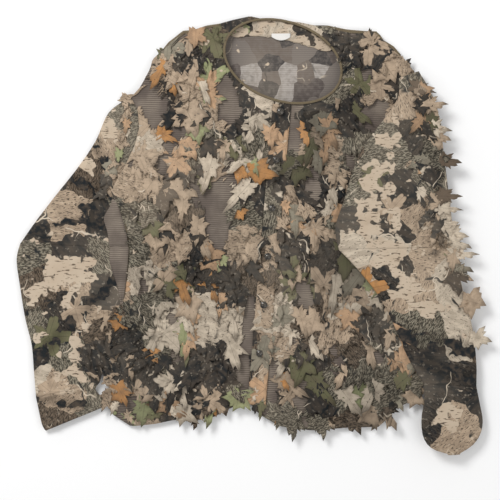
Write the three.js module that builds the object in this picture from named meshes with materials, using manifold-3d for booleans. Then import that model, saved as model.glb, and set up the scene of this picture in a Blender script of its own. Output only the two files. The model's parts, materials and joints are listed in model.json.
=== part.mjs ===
// A leaf-cut camouflage jacket, laid flat on its back with one sleeve beside the body and one across it.
//
// Frame: millimetres, +Z up from the table, +Y towards the neck, +X towards the wearer's left sleeve.
// The origin is under the middle of the whole laid-out jacket, on the table.
// "left" and "right" are the wearer's.
//
// Every cloth layer is a plain slab of its own thickness. From the table up: the back's leaf layer, the
// back mesh, the hollow the wearer's body fills, the front mesh, the front's leaf layer, and the button
// placket. The right sleeve lies on the table beside the body, the left one on top of the left front.

import * as THREE from "three";
import { mergeVertices } from "three/addons/utils/BufferGeometryUtils.js";
import Module from "manifold-3d";

// ---- driving dimensions -------------------------------------------------------------------------

const SEAT = 0.3; // gap between two pieces that touch
const RUN = 1.0; // gap round a piece that swings

// body of the jacket, as laid
const BODY_LEFT = 290;
const BODY_RIGHT = -258; // at the hem
const ARMPIT_GAP = 3; // between the right side's armpit and the sleeve's shoulder end
const HEM_TAIL = -340; // the lowest part of each curved front tail
const HEM_SIDE = -292; // where the tails meet the side seams and the placket
const NECK_TOP = 377; // top of the back neck
const SHOULDER_DROP = 44; // how far a shoulder point lies below the back neck
const SHOULDER_LEFT = 246;
const SHOULDER_RIGHT = -170;
const ARMPIT = 75;

// neck opening: an ellipse, turned a little because the jacket was laid down a little turned
const NECK = { x: 44, y: 298, halfLength: 108, halfWidth: 72, turn: -0.33 };
const BINDING_WIDTH = 8;

// the front edge line, and the lines that the two opened fronts fold along, parallel to it
const FRONT_EDGE_X = 30; // where the front edge crosses the neck
const FRONT_EDGE_Y = 218;
const FRONT_LEAN = 0.085; // how far the line leans, in mm across for each mm up
const PLACKET_WIDTH = 32;
const PLACKET_LAP = 4; // the top placket reaches this far over the left front's cloth
const LEFT_FOLD = 120; // from the front edge to the left front's fold
const RIGHT_FOLD = -90;

// thicknesses and heights
const LEAF_LAYER = 3.6; // the leaf-cut cloth with its curled flaps
const MESH = 3; // the base mesh with its seam turnings
const BODY_HOLLOW = 7.3;
const PLACKET = 2;
const SLEEVE_CLOTH = 3;
const SLEEVE_HOLLOW = 6.7;
const TABLE_GAP = 1; // the right sleeve lies this far clear of the table, on its creases

// press studs
const STUD_COUNT = 6;
const STUD_PITCH = 84;
const FIRST_STUD = 8; // below the neck's edge
const STUD_INSET = 10; // from the front edge to a stud's middle
const CAP_RADIUS = 6.35;
const CAP_HEIGHT = 2.6;
const SHANK_RADIUS = 1.2;
const SOCKET_RADIUS = 5.4;
const SOCKET_BORE = 2.9;
const SOCKET_HEIGHT = 2;
const KNOB_RADIUS = 2.2;
const STUD_BASE_RADIUS = 5;
const STUD_BASE_HEIGHT = 0.8;

// sleeves: the shoulder pivot, the elbow line and the wrist, each a place, a half width and a turn
const RIGHT_SLEEVE = {
  side: "right",
  pivot: { x: -266, y: 122, radius: 42 },
  elbow: { x: -336, y: -12, half: 84, turn: -0.17 },
  wrist: { x: -322, y: -298, half: 54, turn: 0.17 },
};
const LEFT_SLEEVE = {
  side: "left",
  pivot: { x: 262, y: 150, radius: 80 },
  elbow: { x: 259, y: -14, half: 117, turn: 0.1 },
  wrist: { x: 333, y: -330, half: 54, turn: 0.08 },
};
const END_REACH = 6; // how far a sleeve's hollow is cut past its open ends
const CUFF_LENGTH = 46;
const CUFF_WALL = 2;
const ELASTIC_WALL = 1.2;
const ELASTIC_LENGTH = 14;

// leaf strips on the sleeves
const RIGHT_STRIP = { inner: 0.82, outer: 0.1, reach: 0, tips: 7 };
const LEFT_STRIP = { inner: -0.1, outer: 0.98, reach: 38, tips: 7 };

// seams, facing and label
const SEAM_WIDTH = 6;
const SEAM_INSET = 2; // from the cloth's edge
const SEAM_END = 27; // a side seam stops this far short of the armpit and of the hem
const SEAM_LOWERED = 20;
const SHOULDER_SEAM = {
  left: { in: 60, length: 60, slope: 0.06 },
  right: { in: 44, length: 56, slope: 0.22 },
};
const FACING_THICKNESS = 1;
const FACING_START = 22; // how far behind the neck's middle the facing starts
const LABEL = { x: 41, y: 341, width: 33, height: 12, thickness: 0.6 };

// ---- heights of the layers, worked out from the thicknesses ---------------------------------------

const BACK_LEAVES_Z = 0;
const BACK_MESH_Z = BACK_LEAVES_Z + LEAF_LAYER + SEAT;
const BACK_TOP = BACK_MESH_Z + MESH;
const FRONT_MESH_Z = BACK_TOP + BODY_HOLLOW;
const FRONT_LEAVES_Z = FRONT_MESH_Z + MESH + SEAT;
const FRONT_TOP = FRONT_LEAVES_Z + LEAF_LAYER;
const PLACKET_Z = FRONT_TOP + SEAT;
const SLEEVE_HEIGHT = 2 * SLEEVE_CLOTH + SLEEVE_HOLLOW;
const LEFT_SLEEVE_Z = FRONT_TOP + SEAT;

// ---- colours ------------------------------------------------------------------------------------

const CLOTH = { roughness: 0.9, metalness: 0 };
const PRINT = { color: 0x8f8064, ...CLOTH };
const LEAVES = { color: 0x7b7355, ...CLOTH };
const NETTING = { color: 0x6e6258, ...CLOTH };
const BINDING = { color: 0x6a6444, ...CLOTH };
const FACING = { color: 0xa08a72, ...CLOTH };
const SATIN = { color: 0xe8e6e0, roughness: 0.55, metalness: 0 };
const ELASTIC = { color: 0xd8d6d0, ...CLOTH };
const BLACK_METAL = { color: 0x101010, roughness: 0.25, metalness: 0.6 };

// ---- solids -------------------------------------------------------------------------------------

const wasm = await Module();
wasm.setup();

const jacket = new THREE.Group();

function solidOf(geometry) {
  const bare = new THREE.BufferGeometry();
  const loose = geometry.index ? geometry.toNonIndexed() : geometry;
  bare.setAttribute("position", loose.getAttribute("position"));
  const merged = mergeVertices(bare, 1e-4);
  return new wasm.Manifold(
    new wasm.Mesh({
      numProp: 3,
      vertProperties: new Float32Array(merged.attributes.position.array),
      triVerts: new Uint32Array(merged.index.array),
    }),
  );
}

function geometryOf(solid) {
  const mesh = solid.getMesh();
  const geometry = new THREE.BufferGeometry();
  geometry.setAttribute("position", new THREE.BufferAttribute(mesh.vertProperties, 3));
  geometry.setIndex(new THREE.BufferAttribute(mesh.triVerts, 1));
  const flat = geometry.toNonIndexed();
  flat.computeVertexNormals();
  return flat;
}

function add(name, solid, finish) {
  const mesh = new THREE.Mesh(geometryOf(solid), new THREE.MeshStandardMaterial(finish));
  mesh.name = name;
  jacket.add(mesh);
}

// An upright slab of a flat outline.
function slab(shape, bottom, height) {
  const geometry = new THREE.ExtrudeGeometry(shape, {
    depth: height,
    bevelEnabled: false,
    curveSegments: 8,
  });
  geometry.translate(0, 0, bottom);
  return solidOf(geometry);
}

function vectors(points) {
  return points.map(([x, y]) => new THREE.Vector2(x, y));
}

function polygon(points) {
  return new THREE.Shape(vectors(points));
}

// A round piece about the Z axis at x, y, from a profile of [radius, height] points.
function turned(profile, x, y, bottom, segments = 20) {
  const geometry = new THREE.LatheGeometry(vectors(profile), segments);
  geometry.rotateX(Math.PI / 2);
  geometry.translate(x, y, bottom);
  return solidOf(geometry);
}

// ---- outlines of the body -------------------------------------------------------------------------

// The x of a line parallel to the front edge, at a height y.
function frontLine(y, offset = 0) {
  return FRONT_EDGE_X + (y - FRONT_EDGE_Y) * FRONT_LEAN + offset;
}

// The whole body: two curved tails at the hem, upright sides, sloping shoulders and the back neck.
function bodyShape() {
  const notch = frontLine(HEM_SIDE);
  const shoulder = NECK_TOP - SHOULDER_DROP;
  const shape = new THREE.Shape();
  shape.moveTo(BODY_RIGHT, HEM_SIDE);
  shape.splineThru(
    vectors([
      [BODY_RIGHT + 36, HEM_TAIL + 2],
      [(BODY_RIGHT + notch) / 2, HEM_TAIL + 10],
      [notch - 58, HEM_TAIL + 16],
      [notch, HEM_SIDE],
    ]),
  );
  shape.splineThru(
    vectors([
      [notch + 24, HEM_TAIL + 14],
      [(notch + BODY_LEFT) / 2, HEM_TAIL],
      [BODY_LEFT - 62, HEM_TAIL + 14],
      [BODY_LEFT, HEM_SIDE],
    ]),
  );
  shape.lineTo(BODY_LEFT, ARMPIT);
  shape.quadraticCurveTo(SHOULDER_LEFT, ARMPIT + 60, SHOULDER_LEFT, shoulder - 24);
  shape.splineThru(
    vectors([
      [SHOULDER_LEFT - 36, shoulder + 16],
      [NECK.x + 56, NECK_TOP - 14],
      [NECK.x - 26, NECK_TOP],
      [NECK.x - 132, NECK_TOP - 14],
      [SHOULDER_RIGHT, shoulder - 10],
    ]),
  );
  shape.quadraticCurveTo(SHOULDER_RIGHT - 14, shoulder - 80, SHOULDER_RIGHT - 54, shoulder - 100);
  const { x, y, radius } = RIGHT_SLEEVE.pivot;
  shape.lineTo(x + 0.4 * radius, y + 0.7 * radius);
  shape.lineTo(x + radius + ARMPIT_GAP, y - 0.2 * radius);
  shape.lineTo(x + radius + ARMPIT_GAP, y - radius);
  shape.closePath();
  return shape;
}

function neckShape(grow) {
  const shape = new THREE.Shape();
  const { x, y, halfLength, halfWidth, turn } = NECK;
  shape.absellipse(x, y, halfLength + grow, halfWidth + grow, 0, 2 * Math.PI, false, turn);
  return shape;
}

// The strip between two lines parallel to the front edge, from far below the hem to far above the neck.
function stripShape(from, to) {
  const low = HEM_TAIL - 50;
  const high = NECK_TOP + 50;
  return polygon([
    [frontLine(low, from), low],
    [frontLine(low, to), low],
    [frontLine(high, to), high],
    [frontLine(high, from), high],
  ]);
}

// Everything on the hem side of the neck's long axis, moved up by rise.
function belowNeckAxis(rise) {
  const far = 600;
  const slope = Math.tan(NECK.turn);
  const at = (x) => NECK.y + rise + (x - NECK.x) * slope;
  return polygon([
    [-far, -far],
    [far, -far],
    [far, at(far)],
    [-far, at(-far)],
  ]);
}

// The body slab at a layer, less the round clearance that the right sleeve's shoulder end turns in.
function bodyLayer(bottom, height) {
  const { x, y, radius } = RIGHT_SLEEVE.pivot;
  const clearance = new THREE.Shape().absarc(x, y, radius + RUN, 0, 2 * Math.PI);
  return slab(bodyShape(), bottom, height).subtract(slab(clearance, bottom - 1, height + 2));
}

function strip(from, to, bottom, height) {
  return slab(stripShape(from, to), bottom - 1, height + 2);
}

const FAR = 700; // beyond the body's widest point

// A front's part that stays on the body: from its fold to the side, and up over the shoulder.
function sidePart(from, to, bottom, height) {
  return bodyLayer(bottom, height)
    .intersect(strip(from, to, bottom, height))
    .subtract(slab(neckShape(0), bottom - 1, height + 2));
}

// A front's part that opens: between its fold and the front edge, below the neck.
function openingPart(from, to, bottom, height) {
  return sidePart(from, to, bottom, height).intersect(
    slab(belowNeckAxis(0), bottom - 1, height + 2),
  );
}

// ---- body pieces ----------------------------------------------------------------------------------

function addBack() {
  add("back_leaf_layer", bodyLayer(BACK_LEAVES_Z, LEAF_LAYER), LEAVES);
  add("back_mesh_panel", bodyLayer(BACK_MESH_Z, MESH), NETTING);
}

function addFronts() {
  const leftSide = LEFT_FOLD + SEAT;
  const rightSide = RIGHT_FOLD - SEAT;
  const layers = [
    ["mesh", FRONT_MESH_Z, MESH, NETTING],
    ["leaves", FRONT_LEAVES_Z, LEAF_LAYER, LEAVES],
  ];
  for (const [layer, bottom, height, finish] of layers) {
    add(`left_side_${layer}`, sidePart(leftSide, FAR, bottom, height), finish);
    add(`right_side_${layer}`, sidePart(-FAR, rightSide, bottom, height), finish);
    add(`left_front_${layer}`, openingPart(PLACKET_WIDTH, LEFT_FOLD - SEAT, bottom, height), finish);
    add(`right_front_${layer}`, openingPart(RIGHT_FOLD + SEAT, -SEAT, bottom, height), finish);
  }
}

// The seams that join back to front: a turned-in roll of cloth along each side and each shoulder.
function addSeams() {
  const height = BODY_HOLLOW - 2 * SEAT;
  const bottom = BACK_TOP + SEAT;
  const seam = (name, x, y, length, turn) => {
    const roll = new THREE.BoxGeometry(SEAM_WIDTH, length, height);
    roll.rotateZ(turn);
    roll.translate(x, y, bottom + height / 2);
    add(name, solidOf(roll), PRINT);
  };
  const inside = SEAM_WIDTH / 2 + SEAM_INSET;
  const { x, y, radius } = RIGHT_SLEEVE.pivot;
  const armpitX = x + radius + ARMPIT_GAP;
  const slope = Math.atan2(armpitX - BODY_RIGHT, y - radius - HEM_SIDE);
  const middleX = (BODY_RIGHT + armpitX) / 2 + inside;
  const middleY = (ARMPIT + HEM_SIDE) / 2 - SEAM_LOWERED;
  const sideLength = ARMPIT - HEM_SIDE - 2 * SEAM_END;
  seam("left_side_seam", BODY_LEFT - inside, middleY, sideLength, 0);
  seam("right_side_seam", middleX, middleY, sideLength, -slope);
  const shoulderY = NECK_TOP - SHOULDER_DROP + SEAM_WIDTH;
  const { left, right } = SHOULDER_SEAM;
  seam("left_shoulder_seam", SHOULDER_LEFT - left.in, shoulderY, left.length, Math.PI / 2 - left.slope);
  seam("right_shoulder_seam", SHOULDER_RIGHT + right.in, shoulderY, right.length, Math.PI / 2 + right.slope);
}

// The neck binding: the back stretch stays on the body, and each front carries its own stretch.
function addNeckBinding() {
  const ring = (bottom, height) =>
    slab(neckShape(-SEAT), bottom, height).subtract(
      slab(neckShape(-SEAT - BINDING_WIDTH), bottom - 1, height + 2),
    );
  const frontHalf = (from, to, bottom, height) =>
    ring(bottom, height)
      .intersect(strip(from, to, bottom, height))
      .intersect(slab(belowNeckAxis(0), bottom - 1, height + 2));
  const backZ = BACK_TOP + SEAT;
  const backHeight = FRONT_TOP - backZ;
  const moving = strip(RIGHT_FOLD - SEAT, LEFT_FOLD + SEAT, backZ, backHeight).intersect(
    slab(belowNeckAxis(RUN), backZ - 1, backHeight + 2),
  );
  const leftZ = FRONT_MESH_Z + MESH + 2 * SEAT;
  add("back_neck_binding", ring(backZ, backHeight).subtract(moving), BINDING);
  add(
    "right_neck_binding",
    frontHalf(RIGHT_FOLD + SEAT, -SEAT, FRONT_MESH_Z, FRONT_TOP - FRONT_MESH_Z),
    BINDING,
  );
  add(
    "left_neck_binding",
    frontHalf(SEAT, LEFT_FOLD - SEAT, leftZ, PLACKET_Z + PLACKET - leftZ),
    BINDING,
  );
}

function addFacingAndLabel() {
  const bottom = BACK_TOP + SEAT;
  const inside = neckShape(-BINDING_WIDTH - 2 * SEAT);
  const facing = slab(inside, bottom, FACING_THICKNESS).subtract(
    slab(belowNeckAxis(FACING_START), bottom - 1, FACING_THICKNESS + 2),
  );
  add("back_neck_facing", facing, FACING);
  const { x, y, width, height, thickness } = LABEL;
  const label = new THREE.BoxGeometry(width, height, thickness);
  label.translate(x, y, bottom + FACING_THICKNESS + SEAT + thickness / 2);
  add("neck_label", solidOf(label), SATIN);
}

// ---- placket and press studs ----------------------------------------------------------------------

function studPlaces() {
  const first = FRONT_EDGE_Y - FIRST_STUD;
  return Array.from({ length: STUD_COUNT }, (_, i) => {
    const y = first - i * STUD_PITCH;
    return { x: frontLine(y, STUD_INSET), y };
  });
}

function holesThrough(bottom, height) {
  return studPlaces().map(({ x, y }) => {
    const hole = new THREE.CylinderGeometry(SHANK_RADIUS + SEAT, SHANK_RADIUS + SEAT, height + 2, 12);
    hole.rotateX(Math.PI / 2);
    hole.translate(x, y, bottom + height / 2);
    return solidOf(hole);
  });
}

// The top placket laps over the under placket, which the right front carries.
function addPlackets() {
  const top = openingPart(0, PLACKET_WIDTH + PLACKET_LAP, PLACKET_Z, PLACKET);
  const under = openingPart(0, PLACKET_WIDTH - PLACKET_LAP, FRONT_MESH_Z, MESH);
  const drill = (solid, bottom, height) =>
    holesThrough(bottom, height).reduce((left, hole) => left.subtract(hole), solid);
  add("top_placket", drill(top, PLACKET_Z, PLACKET), PRINT);
  add("under_placket", drill(under, FRONT_MESH_Z, MESH), PRINT);
}

// One press stud: the domed cap and the socket on the top placket, the riveted stud on the under placket.
function addStud(number, { x, y }) {
  const capProfile = [
    [0, -PLACKET - SEAT],
    [SHANK_RADIUS, -PLACKET - SEAT],
    [SHANK_RADIUS, SEAT],
    [CAP_RADIUS - 0.6, SEAT],
    [CAP_RADIUS, SEAT + 0.6],
    [CAP_RADIUS - 0.4, SEAT + 1.2],
    [0.6 * CAP_RADIUS, CAP_HEIGHT - 0.3],
    [0, CAP_HEIGHT],
  ];
  add(`stud_cap_${number}`, turned(capProfile, x, y, PLACKET_Z + PLACKET), BLACK_METAL);

  const socketProfile = [
    [SOCKET_BORE, 0],
    [SOCKET_RADIUS, 0],
    [SOCKET_RADIUS, SOCKET_HEIGHT],
    [SOCKET_BORE, SOCKET_HEIGHT],
    [SOCKET_BORE, 0],
  ];
  const socketZ = PLACKET_Z - SEAT - SOCKET_HEIGHT;
  add(`stud_socket_${number}`, turned(socketProfile, x, y, socketZ), BLACK_METAL);

  const base = MESH + SEAT;
  const knobTop = PLACKET_Z - 3 * SEAT - FRONT_MESH_Z;
  const studProfile = [
    [0, -SEAT - STUD_BASE_HEIGHT],
    [STUD_BASE_RADIUS, -SEAT - STUD_BASE_HEIGHT],
    [STUD_BASE_RADIUS, -SEAT],
    [SHANK_RADIUS, -SEAT],
    [SHANK_RADIUS, base],
    [STUD_BASE_RADIUS, base],
    [STUD_BASE_RADIUS, base + STUD_BASE_HEIGHT],
    [KNOB_RADIUS, base + STUD_BASE_HEIGHT],
    [KNOB_RADIUS, knobTop - 0.5],
    [0, knobTop],
  ];
  add(`stud_post_${number}`, turned(studProfile, x, y, FRONT_MESH_Z), BLACK_METAL);
}

// ---- sleeves ------------------------------------------------------------------------------------

// The end of a line across the sleeve, at a share of its half width.
function across(line, share) {
  return [
    line.x + Math.cos(line.turn) * line.half * share,
    line.y + Math.sin(line.turn) * line.half * share,
  ];
}

// A line across the sleeve, moved towards the cuff (or back, if along is negative).
function moved(line, along) {
  return {
    ...line,
    x: line.x + Math.sin(line.turn) * along,
    y: line.y - Math.cos(line.turn) * along,
  };
}

// The upper sleeve's outline: the round shoulder end and the elbow line, joined by their tangents.
// An inset of a cloth's thickness gives the hollow inside, which runs past the elbow end.
function upperShape(sleeve, inset) {
  const { x, y, radius } = sleeve.pivot;
  const past = inset > 0 ? END_REACH : -SEAT;
  const elbow = moved({ ...sleeve.elbow, half: sleeve.elbow.half - inset }, past);
  const right = across(elbow, 1);
  const left = across(elbow, -1);
  const r = radius - inset;
  const tangent = (px, py, side) => {
    const distance = Math.hypot(px - x, py - y);
    return Math.atan2(py - y, px - x) + side * Math.acos(Math.min(1, r / distance));
  };
  const start = tangent(right[0], right[1], 1);
  const end = tangent(left[0], left[1], -1);
  const shape = new THREE.Shape();
  shape.moveTo(left[0], left[1]);
  shape.lineTo(right[0], right[1]);
  shape.absarc(x, y, r, start, end < start ? end + 2 * Math.PI : end, false);
  shape.closePath();
  return shape;
}

function forearmShape(sleeve, inset) {
  const past = inset > 0 ? END_REACH : 0;
  const elbow = moved({ ...sleeve.elbow, half: sleeve.elbow.half - inset }, SEAT - past);
  const wrist = moved({ ...sleeve.wrist, half: sleeve.wrist.half - inset }, past);
  return polygon([across(elbow, -1), across(wrist, -1), across(wrist, 1), across(elbow, 1)]);
}

// A tray turned upside down: the front cloth with its two side turnings, open at its ends.
function tray(shapeAt, bottom) {
  const height = SLEEVE_CLOTH + SLEEVE_HOLLOW - SEAT;
  const hollow = SLEEVE_HOLLOW - SEAT;
  const inner = slab(shapeAt(SLEEVE_CLOTH), bottom - 1, hollow + 1);
  return slab(shapeAt(0), bottom, height).subtract(inner);
}

// The mouth at the shoulder end, between the sleeve and the body.
function shoulderCut(sleeve) {
  const { x, y, radius } = sleeve.pivot;
  const half = radius * 0.6;
  return polygon([
    [x - half, y],
    [x + half, y],
    [x + half, y + radius + 10],
    [x - half, y + radius + 10],
  ]);
}

// The leaf-cut strip on a sleeve segment, between two shares of its width, with leaf points past its edge.
function leafStrip(start, end, { inner, outer, reach, tips }) {
  const points = [across(start, inner), across(end, inner)];
  const steps = 2 * tips;
  for (let i = 0; i <= steps; i++) {
    const share = i / steps;
    const low = across(end, outer);
    const high = across(start, outer);
    const out = i % 2 ? reach : 0;
    points.push([
      low[0] + (high[0] - low[0]) * share + out,
      low[1] + (high[1] - low[1]) * share + 0.2 * out,
    ]);
  }
  return polygon(inner < outer ? points : points.reverse());
}

// A flat oval tube along the sleeve: its section is a rounded slot with a smaller slot taken out.
function ovalTube(line, length, width, height, wall, middle) {
  const slot = (w, h) => {
    const r = h / 2;
    const shape = new THREE.Shape();
    shape.absarc(w / 2 - r, 0, r, -Math.PI / 2, Math.PI / 2, false);
    shape.absarc(-w / 2 + r, 0, r, Math.PI / 2, (3 * Math.PI) / 2, false);
    shape.closePath();
    return shape;
  };
  const section = slot(width, height);
  section.holes.push(slot(width - 2 * wall, height - 2 * wall));
  const tube = new THREE.ExtrudeGeometry(section, {
    depth: length,
    bevelEnabled: false,
    curveSegments: 6,
  });
  const right = new THREE.Vector3(Math.cos(line.turn), Math.sin(line.turn), 0);
  const up = new THREE.Vector3(0, 0, 1);
  const along = new THREE.Vector3().crossVectors(right, up);
  const frame = new THREE.Matrix4().makeBasis(right, up, along);
  tube.applyMatrix4(frame);
  tube.translate(line.x, line.y, middle);
  return solidOf(tube);
}

// The cuff band and the elastic that its hem channel holds, level with the sleeve's hollow.
function addCuff(sleeve, bottom) {
  const middle = bottom + SLEEVE_HEIGHT / 2;
  const start = moved(sleeve.wrist, SEAT);
  const width = 2 * sleeve.wrist.half;
  const cuff = ovalTube(start, CUFF_LENGTH, width, SLEEVE_HEIGHT, CUFF_WALL, middle);
  add(`${sleeve.side}_cuff`, cuff, PRINT);
  const inside = CUFF_WALL + SEAT;
  const elastic = ovalTube(
    moved(start, CUFF_LENGTH - ELASTIC_LENGTH - 4),
    ELASTIC_LENGTH,
    width - 2 * inside,
    SLEEVE_HEIGHT - 2 * inside,
    ELASTIC_WALL,
    middle,
  );
  add(`${sleeve.side}_cuff_elastic`, elastic, ELASTIC);
}

function addSleeve(sleeve, leaf, bottom) {
  const { side, elbow, wrist } = sleeve;
  const trayZ = bottom + SLEEVE_CLOTH + SEAT;
  const leavesZ = bottom + SLEEVE_HEIGHT + SEAT;
  const upper = (inset) => upperShape(sleeve, inset);
  const forearm = (inset) => forearmShape(sleeve, inset);
  const mouth = slab(shoulderCut(sleeve), trayZ - 1, SLEEVE_HOLLOW - SEAT + 1);
  const shoulder = { ...elbow, x: sleeve.pivot.x, y: sleeve.pivot.y, half: sleeve.pivot.radius };
  add(`${side}_upper_sleeve_back`, slab(upper(0), bottom, SLEEVE_CLOTH), NETTING);
  add(`${side}_upper_sleeve_front`, tray(upper, trayZ).subtract(mouth), PRINT);
  add(`${side}_forearm_back`, slab(forearm(0), bottom, SLEEVE_CLOTH), NETTING);
  add(`${side}_forearm_front`, tray(forearm, trayZ), PRINT);
  const upperStrip = leafStrip(shoulder, moved(elbow, -SEAT), leaf);
  const forearmStrip = leafStrip(moved(elbow, SEAT), wrist, leaf);
  add(`${side}_upper_sleeve_leaves`, slab(upperStrip, leavesZ, LEAF_LAYER), LEAVES);
  add(`${side}_forearm_leaves`, slab(forearmStrip, leavesZ, LEAF_LAYER), LEAVES);
  addCuff(sleeve, bottom);
}

// ---- the jacket -----------------------------------------------------------------------------------

addBack();
addFronts();
addSeams();
addNeckBinding();
addFacingAndLabel();
addPlackets();
studPlaces().forEach((place, i) => addStud(i + 1, place));
addSleeve(RIGHT_SLEEVE, RIGHT_STRIP, TABLE_GAP);
addSleeve(LEFT_SLEEVE, LEFT_STRIP, LEFT_SLEEVE_Z);

// The origin goes under the middle of the laid-out jacket.
const box = new THREE.Box3().setFromObject(jacket);
const middle = box.getCenter(new THREE.Vector3());
jacket.position.set(-middle.x, -middle.y, -box.min.z);

export default jacket;
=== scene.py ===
"""A leaf-cut camouflage jacket laid flat: the visible cloth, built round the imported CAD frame.

Lengths are metres in the frame's own axes: +Z up from the table, +Y to the neck, +X to the wearer's left.
Outlines are given in millimetres, as a tailor would note them on the laid-out jacket.
"""
import json
import math
import random

import bpy
import numpy as np
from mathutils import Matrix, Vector, noise
from mathutils.bvhtree import BVHTree

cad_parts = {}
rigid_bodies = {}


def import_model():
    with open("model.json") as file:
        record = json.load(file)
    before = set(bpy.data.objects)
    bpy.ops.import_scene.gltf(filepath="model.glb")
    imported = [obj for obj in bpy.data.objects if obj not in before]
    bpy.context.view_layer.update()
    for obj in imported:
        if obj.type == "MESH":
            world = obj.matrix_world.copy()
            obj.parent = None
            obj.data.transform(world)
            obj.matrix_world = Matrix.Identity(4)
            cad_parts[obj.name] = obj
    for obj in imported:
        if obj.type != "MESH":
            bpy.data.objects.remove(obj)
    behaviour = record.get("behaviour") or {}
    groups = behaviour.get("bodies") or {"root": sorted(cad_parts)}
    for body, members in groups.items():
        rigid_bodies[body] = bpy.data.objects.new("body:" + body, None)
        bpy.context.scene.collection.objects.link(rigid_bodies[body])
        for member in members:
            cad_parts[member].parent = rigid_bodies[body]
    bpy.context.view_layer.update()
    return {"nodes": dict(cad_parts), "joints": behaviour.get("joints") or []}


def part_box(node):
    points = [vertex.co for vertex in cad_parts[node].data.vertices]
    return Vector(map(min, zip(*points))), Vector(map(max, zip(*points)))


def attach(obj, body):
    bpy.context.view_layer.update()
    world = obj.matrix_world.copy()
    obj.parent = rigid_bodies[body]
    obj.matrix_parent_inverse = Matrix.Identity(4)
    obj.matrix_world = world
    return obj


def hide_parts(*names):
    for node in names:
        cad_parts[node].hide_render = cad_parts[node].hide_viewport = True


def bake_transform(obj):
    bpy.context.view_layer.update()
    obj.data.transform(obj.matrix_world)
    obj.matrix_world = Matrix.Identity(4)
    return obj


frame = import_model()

MM = 0.001

# The outlines were noted from the middle of the laid-out jacket; the frame's origin is this far off.
LAID_SHIFT = (-2.0 * MM, 1.7 * MM)


def at(x, y):
    """A point noted in millimetres on the laid-out jacket, as metres in the frame."""
    return x * MM + LAID_SHIFT[0], y * MM + LAID_SHIFT[1]


def millimetres(x, y):
    """The other way round: a point in the frame, as noted on the laid-out jacket."""
    return (x - LAID_SHIFT[0]) / MM, (y - LAID_SHIFT[1]) / MM


# ---- camera, floor and light ---------------------------------------------------------------------

CAMERA_HEIGHT = 2.6
VIEW_WIDTH = 0.875  # of table seen across the picture
VIEW_CENTRE = at(-13.1, -30.6)
SENSOR = 36.0


def make_camera():
    data = bpy.data.cameras.new("camera")
    data.sensor_width = SENSOR
    data.lens = SENSOR * CAMERA_HEIGHT / VIEW_WIDTH
    camera = bpy.data.objects.new("camera", data)
    camera.location = (VIEW_CENTRE[0], VIEW_CENTRE[1], CAMERA_HEIGHT)
    bpy.context.scene.collection.objects.link(camera)
    bpy.context.scene.camera = camera


def area_light(name, place, size, watts):
    data = bpy.data.lights.new(name, "AREA")
    data.size = size
    data.energy = watts
    light = bpy.data.objects.new(name, data)
    light.location = place
    light.rotation_euler = (-Vector(place)).to_track_quat("-Z", "Y").to_euler()
    bpy.context.scene.collection.objects.link(light)


def make_floor():
    size = 6.0
    mesh = bpy.data.meshes.new("floor")
    corners = [(-size, -size, 0), (size, -size, 0), (size, size, 0), (-size, size, 0)]
    mesh.from_pydata(corners, [], [(0, 1, 2, 3)])
    floor = bpy.data.objects.new("floor", mesh)
    floor.location.z = -0.0005
    bpy.context.scene.collection.objects.link(floor)
    material = bpy.data.materials.new("floor_paper")
    material.use_nodes = True
    shader = material.node_tree.nodes["Principled BSDF"]
    shader.inputs["Base Color"].default_value = (0.95, 0.95, 0.95, 1)
    shader.inputs["Roughness"].default_value = 0.9
    mesh.materials.append(material)


def make_light():
    world = bpy.data.worlds.new("studio")
    world.use_nodes = True
    world.node_tree.nodes["Background"].inputs["Color"].default_value = (1, 1, 1, 1)
    world.node_tree.nodes["Background"].inputs["Strength"].default_value = 0.55
    bpy.context.scene.world = world
    area_light("key", (-1.3, 1.5, 2.2), 1.0, 54)
    area_light("fill", (1.6, -1.0, 2.4), 2.2, 16)
    bpy.context.scene.view_settings.view_transform = "Standard"


make_camera()
make_floor()
make_light()


# ---- small helpers for curves and surfaces -------------------------------------------------------


def smooth(low, high, value):
    """0 at low, 1 at high and smooth between; low may be the larger."""
    t = min(1.0, max(0.0, (value - low) / (high - low)))
    return t * t * (3 - 2 * t)


def catmull(points, t):
    """The point at share t, 0 to 1, of a smooth curve through the points."""
    last = len(points) - 1
    place = min(max(t, 0.0), 1.0) * last
    i = min(int(place), last - 1)
    f = place - i
    p = [points[max(0, min(last, i + k))] for k in (-1, 0, 1, 2)]
    out = []
    for a, b, c, d in zip(*p):
        square, cube = 2 * a - 5 * b + 4 * c - d, 3 * b - a - 3 * c + d
        out.append(0.5 * (2 * b + (c - a) * f + square * f**2 + cube * f**3))
    return out


def curve_at(points, key):
    """The value at a key, on straight lines through [key, value] points with rising keys."""
    last = len(points) - 1
    if key <= points[0][0]:
        return points[0][1]
    if key >= points[last][0]:
        return points[last][1]
    i = max(k for k in range(last) if points[k][0] <= key)
    f = (key - points[i][0]) / (points[i + 1][0] - points[i][0])
    return points[i][1] + (points[i + 1][1] - points[i][1]) * f


def edge_of(curve, shift=0.0):
    """An outline, as a function of its key."""
    return lambda key: curve_at(curve, key) + shift


def level(value):
    """An edge that stays at one value."""
    return lambda key: value


def wrinkle(x, y, scale, seed):
    """Soft creases, from -1 to 1, that run mostly up and down the cloth."""
    a = noise.noise(Vector((x / scale, y / scale * 0.6, seed)))
    b = noise.noise(Vector((x / scale * 2.3 + 5, y / scale * 1.1, seed + 3)))
    return a + 0.5 * b


def ridges(x, y, scale, seed):
    """Narrow raised folds, from 0 to 1."""
    value = noise.noise(Vector((x / scale, y / scale, seed)))
    return max(0.0, 1 - abs(value) * 3.5) ** 2


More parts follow.
